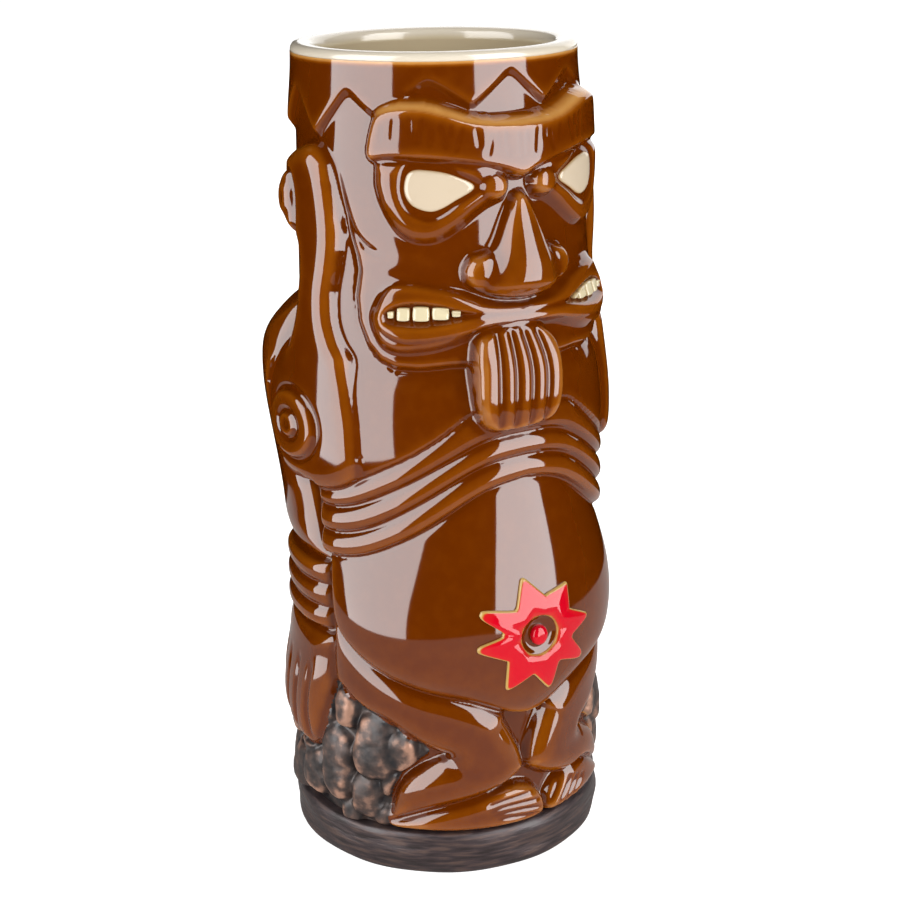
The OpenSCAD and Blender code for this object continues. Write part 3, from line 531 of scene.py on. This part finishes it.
def sculpt_tongue(f):
    """The tongue hangs from the mouth over the chest, a little to the right, rolled into five ridges."""
    tongue = [(-17.2, 138.4), (-12, 139.8), (-5, 140.6), (1, 140.4), (6, 139.2), (9.6, 136.4),
              (10.8, 131), (10.8, 124), (9.4, 119.4), (6, 116.8), (0, 116), (-7, 115.6), (-13.4, 115.9),
              (-17.6, 118.2), (-19.2, 123), (-19.6, 130), (-19, 135.6)]
    thick = curve([(114, 42.4), (117, 43.9), (121, 44.9), (127, 45.2), (132, 44.7), (136, 43.2),
                   (140, 40.8)])
    f.lay("tongue", tongue, lambda d, a, z, r: rise_to(r, thick(z), roll(d, 1.5), 0.6), sides=(1,),
          rule="set")
    for middle, top, foot in ((-11.6, -11.4, -11.4), (-6.6, -7, -6.6), (-1.4, -2.6, -1.6), (3.8, 2, 3.4)):
        f.carve([(top, 139.6), (middle, 131), (middle, 123), (foot, 116.2)], 1.15, 0.55, sides=(1,),
                taper=0.1)


def sculpt_ears(f):
    """A long ear each side: a loop at the top that curls to a scroll, and a lobe with a plug."""
    ear = [(79, 179.6), (72, 176.2), (68.2, 170.4), (66.2, 164), (65.9, 158), (67.4, 152), (69.4, 146),
           (69, 140), (66, 135.2), (62.2, 131.5), (60.9, 127), (59.8, 122), (58.5, 117), (58, 112),
           (58, 106.4), (60, 102.6), (66, 100), (75, 98.6), (85, 98.8), (95, 101), (100.4, 104.4),
           (103.4, 110), (104.2, 117), (103, 123), (99, 128.4), (94, 134.2), (90.6, 140), (89.2, 145.4),
           (88.2, 151), (89, 156.4), (95, 158.6), (100.4, 162.4), (103, 167.6), (101.4, 172.8),
           (96, 176.8), (88, 179.2)]
    proud = curve([(98, 6.2), (108, 7), (118, 6.9), (130, 6), (145, 5.2), (160, 4.9), (172, 4.6),
                   (180, 4)])
    f.lay("ear", ear, lambda d, a, z, r: rise_to(r, cup_radius(z) + 1 + proud(z), roll(d, 4.4)),
          rule="set")
    # The loop's inner edge, curling into the scroll
    f.carve([(88.4, 153), (87.8, 158), (87.2, 164), (88, 169), (91, 172.6), (95, 173), (98.6, 170.8),
             (99.8, 167), (98.4, 163), (95.4, 161.4)], 1.5, 0.8, taper=0.06)
    f.carve([(93, 168.8), (94.6, 168.6), (95.2, 166.4), (94, 164.4), (92.2, 165.2), (91.8, 167.4)], -0.8,
            1.3, closed=True)
    # The lobe's disc, its inner ring and bead
    turn = np.linspace(0, 2 * np.pi, 15)[:-1]

    def ring(radius):
        return [(87 + radius * math.cos(t) / MM_PER_DEGREE, 113.6 + radius * math.sin(t)) for t in turn]
    disc = inside_distance(catmull([(a * MM_PER_DEGREE, z) for a, z in ring(8.4)], True),
                           np.abs(f.a) * MM_PER_DEGREE, f.z)
    f.r += np.where(np.char.startswith(np.array(f.names)[f.owner], "ear_"), 1.1 * ramp(disc + 0.4, 1.6),
                    0)
    f.carve(ring(8.8), 0.8, 0.7, closed=True)
    f.carve(ring(3.5), 0.9, 0.65, closed=True)
    f.carve(ring(2.2), -0.35, 0.6, closed=True)


field = Field()
torso = 2.7 * ramp(80 - np.abs(field.a), 8) * ramp(134 - field.z, 8) * ramp(field.z - 41, 5)
field.r += torso
sculpt_crown(field)
sculpt_rocks(field)
sculpt_arms(field)
sculpt_torso(field)
sculpt_legs(field)
sculpt_face(field)
sculpt_tongue(field)
sculpt_ears(field)
raw = field.r
field.r = field.soften(raw, 1.3)


# Parts of the ear and the mouth that stand for CAD nodes of their own
def relabel(f):
    names = np.array(f.names)[f.owner]
    side = np.where(f.a > 0, "left", "right")
    a = np.abs(f.a)
    scroll = np.hypot((a - 94.6) * MM_PER_DEGREE, f.z - 166.4) < 6.1
    lobe = np.hypot((a - 87) * MM_PER_DEGREE, f.z - 113.6) < 8.8
    for s in ("left", "right"):
        ear = (names == "ear_" + s) & (side == s)
        f.owner[ear & scroll & (a > 88)] = f.index("ear_scroll_" + s)
        f.owner[ear & lobe] = f.index("lobe_plug_" + s)
        f.owner[(names == "jowl") & (side == s)] = f.index("jowl_" + s)
        leg = names == "leg_" + s
        f.owner[leg] = np.where(f.z > 30.4 + 0.07 * a, f.index("thigh_" + s), f.index("shin_" + s))[leg]
    lips = (names == "lips") | np.char.startswith(names, "mouth_")
    f.owner[lips] = np.where(f.z > 142.75, f.index("upper_lip"), f.index("lower_lip"))[lips]


relabel(field)


# ---- Meshes ----
def radial(a, z, r):
    """Points in metres at angles from the front, drawn heights and radii."""
    t = np.radians(a)
    return np.stack([r * np.sin(t), -r * np.cos(t), real_height(z)], -1) * MM


def grid_normals(f, points):
    """Outward normals of the whole field, so that pieces meet without a seam."""
    ahead, behind = np.roll(points, -1, axis=1), np.roll(points, 1, axis=1)
    n = np.cross(ahead - behind, np.gradient(points, axis=0))
    return n / (np.linalg.norm(n, axis=-1, keepdims=True) + 1e-12)


def add_mesh(name, verts, faces, thin_and_painted_light=None, normals=None, smooth=True):
    """A mesh object. The per-vertex values say how thin the glaze runs, 0.5 on the flat, and on the liner
    they are painted light on the rim and painted shade inside the cup; normals are for verts.
    """
    mesh = bpy.data.meshes.new(name)
    mesh.from_pydata(np.asarray(verts, float).tolist(), [], faces)
    if thin_and_painted_light is not None:
        layer = mesh.attributes.new("thin_and_painted_light", "FLOAT", "POINT")
        layer.data.foreach_set("value", np.asarray(thin_and_painted_light, np.float32).ravel())
    mesh.polygons.foreach_set("use_smooth", [smooth] * len(mesh.polygons))
    mesh.update()
    if normals is not None:
        loops = np.zeros(len(mesh.loops), np.int32)
        mesh.loops.foreach_get("vertex_index", loops)
        mesh.normals_split_custom_set(normals[loops].tolist())
    obj = bpy.data.objects.new(name, mesh)
    bpy.context.collection.objects.link(obj)
    return obj


BLOCK = 8                                       # cells joined to a side on the hidden back of a piece


def cut_piece(f, name, points, normals, thin_and_painted_light):
    """A closed piece: the cells of the field that a name owns, walls round them, and a plain back."""
    cells = (f.owner == f.index(name))[:-1]
    rows, cols = cells.shape
    ids = np.arange((rows + 1) * cols).reshape(rows + 1, cols)
    nxt = (np.arange(cols) + 1) % cols
    a, b, c, d = ids[:-1], ids[:-1][:, nxt], ids[1:][:, nxt], ids[1:]
    front = np.stack([a[cells], b[cells], c[cells], d[cells]], 1)
    size = ids.size
    back = []
    for r0 in range(0, rows, BLOCK):
        for c0 in range(0, cols, BLOCK):
            part = cells[r0:r0 + BLOCK, c0:c0 + BLOCK]
            if not part.any():
                continue
            if part.shape == (BLOCK, BLOCK) and part.all() and c0 + BLOCK < cols:
                low = [ids[r0, c0 + k] for k in range(BLOCK)]
                right = [ids[r0 + k, c0 + BLOCK] for k in range(BLOCK)]
                high = [ids[r0 + BLOCK, c0 + BLOCK - k] for k in range(BLOCK)]
                left = [ids[r0 + BLOCK - k, c0] for k in range(BLOCK)]
                back.append([size + int(v) for v in (low + right + high + left)[::-1]])
            else:
                for i, j in zip(*np.nonzero(part)):
                    i, j = i + r0, j + c0
                    back.append([size + int(v) for v in (d[i, j], c[i, j], b[i, j], a[i, j])])
    walls = []
    padded = np.pad(cells, ((1, 1), (0, 0)))
    edges = ((padded[:-2], a, b), (padded[2:], c, d), (np.roll(cells, 1, 1), d, a),
             (np.roll(cells, -1, 1), b, c))
    for beside, p, q in edges:
        open_side = cells & ~beside
        for v, w in zip(p[open_side], q[open_side]):
            walls.append([int(v), size + int(v), size + int(w), int(w)])
    hidden = points.copy()
    hidden[..., :2] *= ((f.cup - 1.3) / f.r)[..., None]
    faces = front.tolist() + walls + back
    used = np.zeros(2 * size, bool)
    for face in faces:
        used[face] = True
    order = np.cumsum(used) - 1
    faces = [[int(order[v]) for v in face] for face in faces]
    verts = np.concatenate([points.reshape(-1, 3), hidden.reshape(-1, 3)])[used]
    values = np.concatenate([thin_and_painted_light.ravel(), np.full(size, 0.5)])[used]
    shown = np.concatenate([normals.reshape(-1, 3), np.zeros((size, 3))])[used]
    return verts, faces, values, shown


def revolve(profile, steps, wobble=None):
    """Vertices and faces of a turned shape from a closed (radius, height) profile in mm."""
    p = np.array(profile, float)
    t = np.linspace(0, 2 * np.pi, steps, endpoint=False)
    r, z = np.tile(p[:, 0], (steps, 1)), np.tile(p[:, 1], (steps, 1))
    if wobble is not None:
        r, z = wobble(t[:, None], r, z)
    verts = np.stack([r * np.sin(t)[:, None], -r * np.cos(t)[:, None], z], -1).reshape(-1, 3) * MM
    n = len(p)
    faces = []
    for i in range(steps):
        for k in range(n):
            a, b = i * n + k, i * n + (k + 1) % n
            c, d = (i + 1) % steps * n + (k + 1) % n, (i + 1) % steps * n + k
            faces.append([a, d, c, b])
    return verts, faces


def inlay(f, outline, hub, rise, thins, shares, hole=None):
    """A fill laid on the field: rings from the outline in to a hub, each with its rise in mm. With a
    hole the rings close on a circle of that radius, in mm, and the last one joins the first."""
    line = catmull(outline, True, 8)
    hub = np.array(hub, float)
    n = len(line)
    inner = np.tile(hub, (n, 1))
    if hole:
        out = (line - hub) * (BELLY_MM, 1)
        inner = hub + hole * out / np.linalg.norm(out, axis=1, keepdims=True) / (BELLY_MM, 1)
    verts, thin_and_painted_light = [], []
    for share, up, value in zip(shares, rise, thins):
        ring = inner + (line - inner) * share
        verts.append(radial(ring[:, 0], ring[:, 1], f.sample(f.r, ring[:, 0], ring[:, 1]) + up))
        thin_and_painted_light += [value] * n
    count = len(shares)
    faces = [[k * n + i, k * n + (i + 1) % n, (k + 1) % count * n + (i + 1) % n, (k + 1) % count * n + i]
             for k in range(count if hole else count - 1) for i in range(n)]
    if not hole:
        middle = count * n
        verts.append(radial(hub[:1], hub[1:], f.sample(f.r, hub[:1], hub[1:]) + rise[-1]))
        thin_and_painted_light.append(thins[-1])
        faces += [[middle - n + i, middle - n + (i + 1) % n, middle] for i in range(n)]
        faces.append(list(range(n))[::-1])
    return np.concatenate(verts), faces, thin_and_painted_light


# ---- Materials ----
def srgb(code):
    """A linear colour from a hexadecimal one."""
    v = [int(code[i:i + 2], 16) / 255 for i in (0, 2, 4)]
    return [c / 12.92 if c <= 0.04045 else ((c + 0.055) / 1.055) ** 2.4 for c in v] + [1]


def new_material(name):
    m = bpy.data.materials.new(name)
    m.use_nodes = True
    nodes, links = m.node_tree.nodes, m.node_tree.links
    return m, nodes, links, nodes["Principled BSDF"]


def ramp_node(nodes, stops):
    node = nodes.new("ShaderNodeValToRGB")
    for i, (at, code) in enumerate(stops):
        e = node.color_ramp.elements[i] if i < 2 else node.color_ramp.elements.new(at)
        e.position, e.color = at, srgb(code)
    return node


def noise_node(nodes, links, size_mm, detail=2.0):
    place, node = nodes.new("ShaderNodeTexCoord"), nodes.new("ShaderNodeTexNoise")
    node.inputs["Scale"].default_value = 1 / (size_mm * MM)
    node.inputs["Detail"].default_value = detail
    links.new(place.outputs["Object"], node.inputs["Vector"])
    return node


def span_node(nodes, given, wanted):
    """Carries one span of values to another."""
    node = nodes.new("ShaderNodeMapRange")
    for name, value in zip(("From Min", "From Max", "To Min", "To Max"), given + wanted):
        node.inputs[name].default_value = value
    return node


def bump(nodes, links, shader, height, depth_mm):
    node = nodes.new("ShaderNodeBump")
    node.inputs["Distance"].default_value = depth_mm * MM
    node.inputs["Strength"].default_value = 1
    links.new(height, node.inputs["Height"])
    links.new(node.outputs["Normal"], shader.inputs["Normal"])


def glaze(name, stops, mottle=0.06, rough=0.06, waves=0.012, wave_mm=7, ior=1.58):
    """Glossy glaze: its colour follows how thin it runs, and on the liner also painted light on the rim
    and painted shade inside the cup; its surface is very slightly wavy.
    """
    m, nodes, links, shader = new_material(name)
    thin_and_painted_light = nodes.new("ShaderNodeAttribute")
    thin_and_painted_light.attribute_name = "thin_and_painted_light"
    cloud = noise_node(nodes, links, 3.2, 3)
    shift = nodes.new("ShaderNodeMath")
    shift.operation = "MULTIPLY_ADD"
    shift.inputs[1].default_value = mottle
    links.new(cloud.outputs[0], shift.inputs[0])
    links.new(thin_and_painted_light.outputs["Fac"], shift.inputs[2])
    less = nodes.new("ShaderNodeMath")
    less.operation = "SUBTRACT"
    less.inputs[1].default_value = mottle / 2
    links.new(shift.outputs[0], less.inputs[0])
    colours = ramp_node(nodes, stops)
    links.new(less.outputs[0], colours.inputs[0])
    links.new(colours.outputs[0], shader.inputs["Base Color"])
    shader.inputs["Roughness"].default_value = rough
    shader.inputs["IOR"].default_value = ior
    bump(nodes, links, shader, noise_node(nodes, links, wave_mm, 1).outputs[0], waves)
    return m


def wash(name, stops, stretch):
    """Bronze wash rubbed over bare stoneware: blue-black and glossy in the cracks, coppery on top.
    stretch draws its brush marks out across the axes."""
    m, nodes, links, shader = new_material(name)
    thin_and_painted_light = nodes.new("ShaderNodeAttribute")
    thin_and_painted_light.attribute_name = "thin_and_painted_light"
    colours = ramp_node(nodes, stops)
    fleck = noise_node(nodes, links, 2.6, 6)
    brush = nodes.new("ShaderNodeMapping")
    brush.inputs["Scale"].default_value = stretch
    links.new(nodes["Texture Coordinate"].outputs["Object"], brush.inputs["Vector"])
    links.new(brush.outputs[0], fleck.inputs["Vector"])
    sharpen = span_node(nodes, (0.35, 0.65), (-0.16, 0.16))
    links.new(fleck.outputs[0], sharpen.inputs[0])
    total = nodes.new("ShaderNodeMath")
    links.new(sharpen.outputs[0], total.inputs[0])
    links.new(thin_and_painted_light.outputs["Fac"], total.inputs[1])
    links.new(total.outputs[0], colours.inputs[0])
    links.new(colours.outputs[0], shader.inputs["Base Color"])
    dull = span_node(nodes, (0.22, 0.55), (0.2, 0.46))
    links.new(total.outputs[0], dull.inputs[0])
    links.new(dull.outputs[0], shader.inputs["Roughness"])
    shader.inputs["Metallic"].default_value = 0.25
    bump(nodes, links, shader, fleck.outputs[0], 0.15)
    return m


BROWN = glaze("brown_glaze", [(0, "240c00"), (0.3, "461a00"), (0.5, "562200"), (0.66, "7a3e04"),
                              (0.82, "b07a3c"), (1, "d8b878")])
CREAM = glaze("cream_glaze", [(0, "988464"), (0.5, "bcae92"), (1, "cac2b6")], 0.04, 0.14, 0.01)
EYE = glaze("eye_glaze", [(0, "70440c"), (0.3, "a88c60"), (0.5, "b8a892"), (1, "c0b098")], 0.05, 0.06)
TOOTH = glaze("tooth_glaze", [(0, "70440c"), (0.3, "b09868"), (0.5, "c2b696"), (1, "ccc0a4")], 0.05, 0.06)
RED = glaze("red_glaze", [(0, "500800"), (0.2, "900410"), (0.5, "b4041a"), (0.72, "b03020"),
                          (0.86, "a87838"), (1, "b89858")], 0.06, 0.05, ior=1.42)
BRONZE = wash("bronze_wash", [(0, "0a121c"), (0.28, "181b20"), (0.5, "2e2624"), (0.68, "44342e"),
                              (1, "96705c")], (0.8, 0.8, 1))
BAND = wash("plinth_wash", [(0, "0e1216"), (0.28, "201a18"), (0.5, "33282a"), (0.68, "4a3832"),
                            (1, "906a58")],
            (0.35, 0.35, 3))


# ---- The pieces of the figure ----
points = radial(field.a, field.z, field.r)
normals = grid_normals(field, points)
proud = (raw - field.soften(raw, 4.2)) / 0.42
is_stone = np.char.startswith(np.array(field.names)[field.owner], "rocks")
thin_and_painted_light = 0.5 + np.where(is_stone, 0.36, 0.12) * np.clip(field.soften(proud, 0.9), -1.6, 1.6)
brow_top = (field.owner == field.index("brow")) * bevel(normals[..., 2] - 0.35, 0.3)
thin_and_painted_light = np.maximum(thin_and_painted_light, 0.5 + 0.34 * field.soften(brow_top, 1.2))
thin_and_painted_light = np.clip(np.maximum(thin_and_painted_light, 0.5 + 0.36 * ramp(field.z - 196.8, 1.5)), 0, 1)

finish = []                                     # (object, CAD nodes, material, slot)
for name in list(field.names):
    if not (field.owner == field.index(name)).any():
        continue
    verts, faces, values, shown = cut_piece(field, name, points, normals, thin_and_painted_light)
    node = "cup_body" if name == "outer_glaze" else name
    stone = name.startswith("rocks")
    if node == "cup_body":                      # the bare cup under the glaze, with its bore and foot
        body, rings = revolve([(FOOT_R - 1.5, 4.2), (RIM_R - 1.5, SHOULDER_Z), (RIM_R - 2, MUG_H - 0.9),
                               (29.6, MUG_H - 0.9), (29.6, SHOULDER_Z - 4), (31.2, FLOOR_Z + 4),
                               (27, FLOOR_Z - 0.4), (0.4, FLOOR_Z - 0.4), (0.4, 4.2)], 128)
        faces = faces + [[v + len(verts) for v in ring] for ring in rings]
        verts = np.concatenate([verts, body])
        values = np.concatenate([values, np.full(len(body), 0.5)])
        shown = np.concatenate([shown, np.zeros((len(body), 3))])
    obj = add_mesh(node, verts, faces, values, shown)
    finish.append((obj, [node], BRONZE if stone else BROWN, "bronze_wash" if stone else "brown_glaze"))


def lay_in(name, parts, mat, slot):
    """One object from one or more inlays."""
    verts, faces, values = [], [], []
    for v, fs, t in parts:
        faces += [[i + sum(len(p) for p in verts) for i in face] for face in fs]
        verts.append(v)
        values += t
    obj = add_mesh(name, np.concatenate(verts), faces, values)
    finish.append((obj, [name], mat, slot))


DOME = (1, 1, 0.94, 0.84, 0.68, 0.48, 0.26)     # the rings of a low dome, as shares of the outline
teeth = ((22.8, 25.6, 142.7, 144.2), (26.5, 32.1, 142.1, 144.8), (33.0, 38.6, 141.8, 144.9),
         (39.6, 43.9, 141.8, 144.6), (45.0, 46.8, 142.3, 143.8))
for side, word in ((1, "left"), (-1, "right")):
    shape = [(side * a, z) for a, z in EYE_LINE][::side]
    lay_in("eye_" + word, [inlay(field, shape, (side * 31, 171), (-0.8, 0.1, 0.42, 0.5, 0.54, 0.56, 0.57),
                                 (0.1, 0.3, 0.46, 0.5, 0.5, 0.5, 0.5), DOME)], EYE, "eye_glaze")
    blocks = []
    for a0, a1, z0, z1 in teeth:
        da, dz = (a1 - a0) / 2, (z1 - z0) / 2
        shape = [(side * (a0 + da + da * x), z0 + dz + dz * y)
                 for x, y in ((1, -0.55), (1, 0.55), (0.75, 1), (-0.75, 1), (-1, 0.55), (-1, -0.55),
                              (-0.75, -1), (0.75, -1))][::side]
        blocks.append(inlay(field, shape, (side * (a0 + da), z0 + dz),
                            (-0.4, 0.6, 1.05, 1.25, 1.35, 1.4, 1.4), (0.1, 0.3, 0.44, 0.5, 0.5, 0.5, 0.5),
                            DOME))
    lay_in("teeth_" + word, blocks, TOOTH, "tooth_glaze")

# The red star round the navel: eight uneven points, a pale outline, and a bead in the navel's dish
TIPS = ((-15, 15.3), (37, 13.9), (86, 15), (125, 16.2), (168, 14.8), (214, 15), (265, 15.6), (298, 16.6))
star = []
for (t0, r0), (t1, r1) in zip(TIPS, TIPS[1:] + ((TIPS[0][0] + 360, TIPS[0][1]),)):
    middle = (t0 + t1) / 2
    for t, r in ((t0 - 4, r0 - 0.9), (t0, r0), (t0 + 4, r0 - 0.9), (middle - 5, 10.4), (middle, 9.9),
                 (middle + 5, 10.4)):
        star.append((STAR_AT[0] + r * math.sin(math.radians(t)) / BELLY_MM,
                     STAR_AT[1] + r * math.cos(math.radians(t))))
lay_in("navel_star", [inlay(field, star[::-1], STAR_AT,
                            (-0.6, 0.45, 0.8, 0.86, 0.94, 1, 0.96, 0.74, 0.4, -0.9),
                            (1, 1, 0.92, 0.55, 0.5, 0.5, 0.5, 0.62, 0.95, 0.3),
                            (1.02, 1.02, 0.975, 0.92, 0.7, 0.4, 0.2, 0.07, 0, 0), NAVEL_R)],
       RED, "red_glaze")
bead = [(STAR_AT[0] + BEAD_R / BELLY_MM * math.cos(t), STAR_AT[1] + 1.15 * BEAD_R * math.sin(t))
        for t in np.linspace(0, 2 * np.pi, 13)[:-1]]
lay_in("navel_bead", [inlay(field, bead, STAR_AT, (-0.4, 0.7, 1.2, 1.55, 1.8, 1.95, 2),
                            (0.4, 0.5, 0.5, 0.5, 0.5, 0.5, 0.5), DOME)], RED, "red_glaze")

# ---- Liner, rim and plinth ----
RIM_SOCKET = MUG_H - 3                          # the liner is coloured lighter above this height, as painted light on the rim, and darker below it, as painted shade inside the cup
half_way = (FLOOR_Z + MUG_H) / 2
rim = [(RIM_R + 0.3, MUG_H - 2.3), (RIM_R + 0.62, MUG_H - 1.7), (RIM_R + 0.55, MUG_H - 1),
       (RIM_R + 0.1, MUG_H - 0.3), (RIM_R - 0.6, MUG_H), (RIM_R - 2.2, MUG_H), (RIM_R - 3.5, MUG_H - 0.1),
       (RIM_R - 4.3, MUG_H - 0.5), (RIM_R - 4.7, MUG_H - 1.3), (RIM_R - 4.75, RIM_SOCKET),
       (28.9, MUG_H - 20), (29.6, half_way), (30.2, FLOOR_Z + 13), (29.6, FLOOR_Z + 6),
       (27.6, FLOOR_Z + 2), (24, FLOOR_Z + 0.4), (10, FLOOR_Z), (0.5, FLOOR_Z), (0.5, FLOOR_Z - 0.3),
       (24, FLOOR_Z), (28, FLOOR_Z + 1.6), (30.1, FLOOR_Z + 6), (30.6, FLOOR_Z + 13), (30, half_way),
       (29.3, MUG_H - 20), (RIM_R - 3.6, RIM_SOCKET), (RIM_R - 1, MUG_H - 2)]
verts, faces = revolve(rim, 192)
# painted light and shade: 0.8 makes the rim lighter and 0.3 makes the inside of the cup darker
liner = add_mesh("liner_glaze", verts, faces, np.where(verts[:, 2] > RIM_SOCKET * MM, 0.8, 0.3))
finish.append((liner, ["liner_glaze"], CREAM, "cream_glaze"))


def uneven(t, r, z):
    """The plinth was trimmed and brushed by hand."""
    outside = ramp(r - 30, 8)
    r = r + outside * (0.22 * np.sin(3 * t + 1) * np.sin(0.9 * z) + 0.12 * np.sin(11 * t + 0.7 * z))
    return r, z + outside * ramp(z - 6, 4) * (0.25 * np.sin(2 * t + 0.6) + 0.12 * np.sin(7 * t))


R = PLINTH_R - 0.35
side_rows = [(R - 0.5 + 0.5 * math.sin(math.pi * k / 12) ** 0.5, 1.2 + (PLINTH_H - 2.1) * k / 12)
             for k in range(13)]
plinth = ([(0.5, 0), (R - 3, 0), (R - 1.4, 0.2), (R - 0.8, 0.7)] + side_rows
          + [(R - 0.9, PLINTH_H - 0.4), (R - 1.5, PLINTH_H - 0.12), (R - 4, PLINTH_H),
             (FOOT_R - 1, PLINTH_H), (FOOT_R - 1, 4.1), (0.5, 4.1)])
verts, faces = revolve(plinth, 240, uneven)
obj = add_mesh("plinth", verts, faces, np.full(len(verts), 0.52))
finish.append((obj, ["plinth"], BAND, "bronze_wash"))

for obj, nodes, mat, slot in finish:
    obj.data.materials.append(mat)
    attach(obj, "root")
    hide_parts(*nodes)


# ---- Stage: pale floor and backdrop, soft boxes and the camera ----
def plain(name, code, glow):
    m, nodes, links, shader = new_material(name)
    shader.inputs["Base Color"].default_value = srgb(code)
    shader.inputs["Roughness"].default_value = 0.9
    shader.inputs["Specular IOR Level"].default_value = 0
    shader.inputs["Emission Color"].default_value = (1, 1, 1, 1)
    shader.inputs["Emission Strength"].default_value = glow
    return m


def stage_piece(name, verts, faces, mat):
    obj = add_mesh(name, verts, faces, smooth=False)
    obj.data.materials.append(mat)
    return obj


def sheet(radius, height, steps=96):
    """Vertices and one face of a round sheet, in metres."""
    t = np.linspace(0, 2 * np.pi, steps, endpoint=False)
    return np.stack([radius * np.cos(t), radius * np.sin(t), np.full(steps, height)],
                    1), [list(range(steps))]


def area_light(name, azimuth, distance, low, high, width, power, seen_by):
    """A tall soft box that faces the mug. Azimuth is from the front, positive to the left side."""
    data = bpy.data.lights.new(name, "AREA")
    data.shape, data.size, data.size_y = "RECTANGLE", width, high - low
    data.energy = power * width * (high - low) * math.pi
    obj = bpy.data.objects.new(name, data)
    a = math.radians(azimuth)
    obj.location = (distance * math.sin(a), -distance * math.cos(a), (low + high) / 2)
    obj.rotation_euler = (math.radians(90), 0, a)
    bpy.context.collection.objects.link(obj)
    obj.visible_camera = False
    obj.visible_diffuse, obj.visible_glossy = "diffuse" in seen_by, "glossy" in seen_by
    return obj


floor = stage_piece("floor", *sheet(6, 0), plain("floor_paper", "f0f0f0", 0.8))
floor.visible_glossy = False
near = stage_piece("floor_near", *sheet(0.24, 0.0002), plain("floor_near_paper", "b8b2ae", 0.1))
near.visible_camera = near.visible_diffuse = near.visible_shadow = False    # seen in the glaze only
area_light("soft_box_front", 23, 0.9, -0.25, 1.3, 0.74, 7.5, ("glossy",))
area_light("soft_box_side", -89, 0.9, -0.25, 1.3, 0.92, 6.5, ("glossy",))
area_light("fill_front", 10, 1.4, 0.1, 1.9, 1.6, 3.2, ("diffuse",))
area_light("fill_side", -75, 1.4, 0.1, 1.9, 1.4, 2.4, ("diffuse",))
area_light("fill_back", 130, 1.6, 0.1, 1.9, 1.6, 1.6, ("diffuse", "glossy"))
dome = [(5800, -50), (5800, 1500), (4200, 3800), (1500, 5200), (0.5, 5400), (0.5, 5410), (1500, 5210),
        (4210, 3810), (5810, 1500), (5810, -50)]
backdrop = stage_piece("backdrop", *revolve(dome, 96), plain("backdrop_paper", "ffffff", 1))
for flag in ("visible_diffuse", "visible_glossy", "visible_shadow", "visible_transmission"):
    setattr(backdrop, flag, False)
world = bpy.data.worlds.new("studio")
bpy.context.scene.world = world
world.use_nodes = True
world.node_tree.nodes["Background"].inputs[0].default_value = (1, 1, 1, 1)
world.node_tree.nodes["Background"].inputs[1].default_value = 0.28
world.cycles_visibility.glossy = False

camera = bpy.data.objects.new("camera", bpy.data.cameras.new("camera"))
bpy.context.collection.objects.link(camera)
camera.data.lens, camera.data.sensor_width = 70.7, 36
camera.data.clip_start = 0.01
camera.location = (-0.2116, -0.3665, 0.2385)
camera.rotation_euler = (math.radians(90 - 18.32), 0, math.radians(-30 - 0.31))
camera.rotation_euler.rotate_axis("Z", -0.0165)
bpy.context.scene.camera = camera
bpy.context.scene.view_settings.view_transform = "Standard"
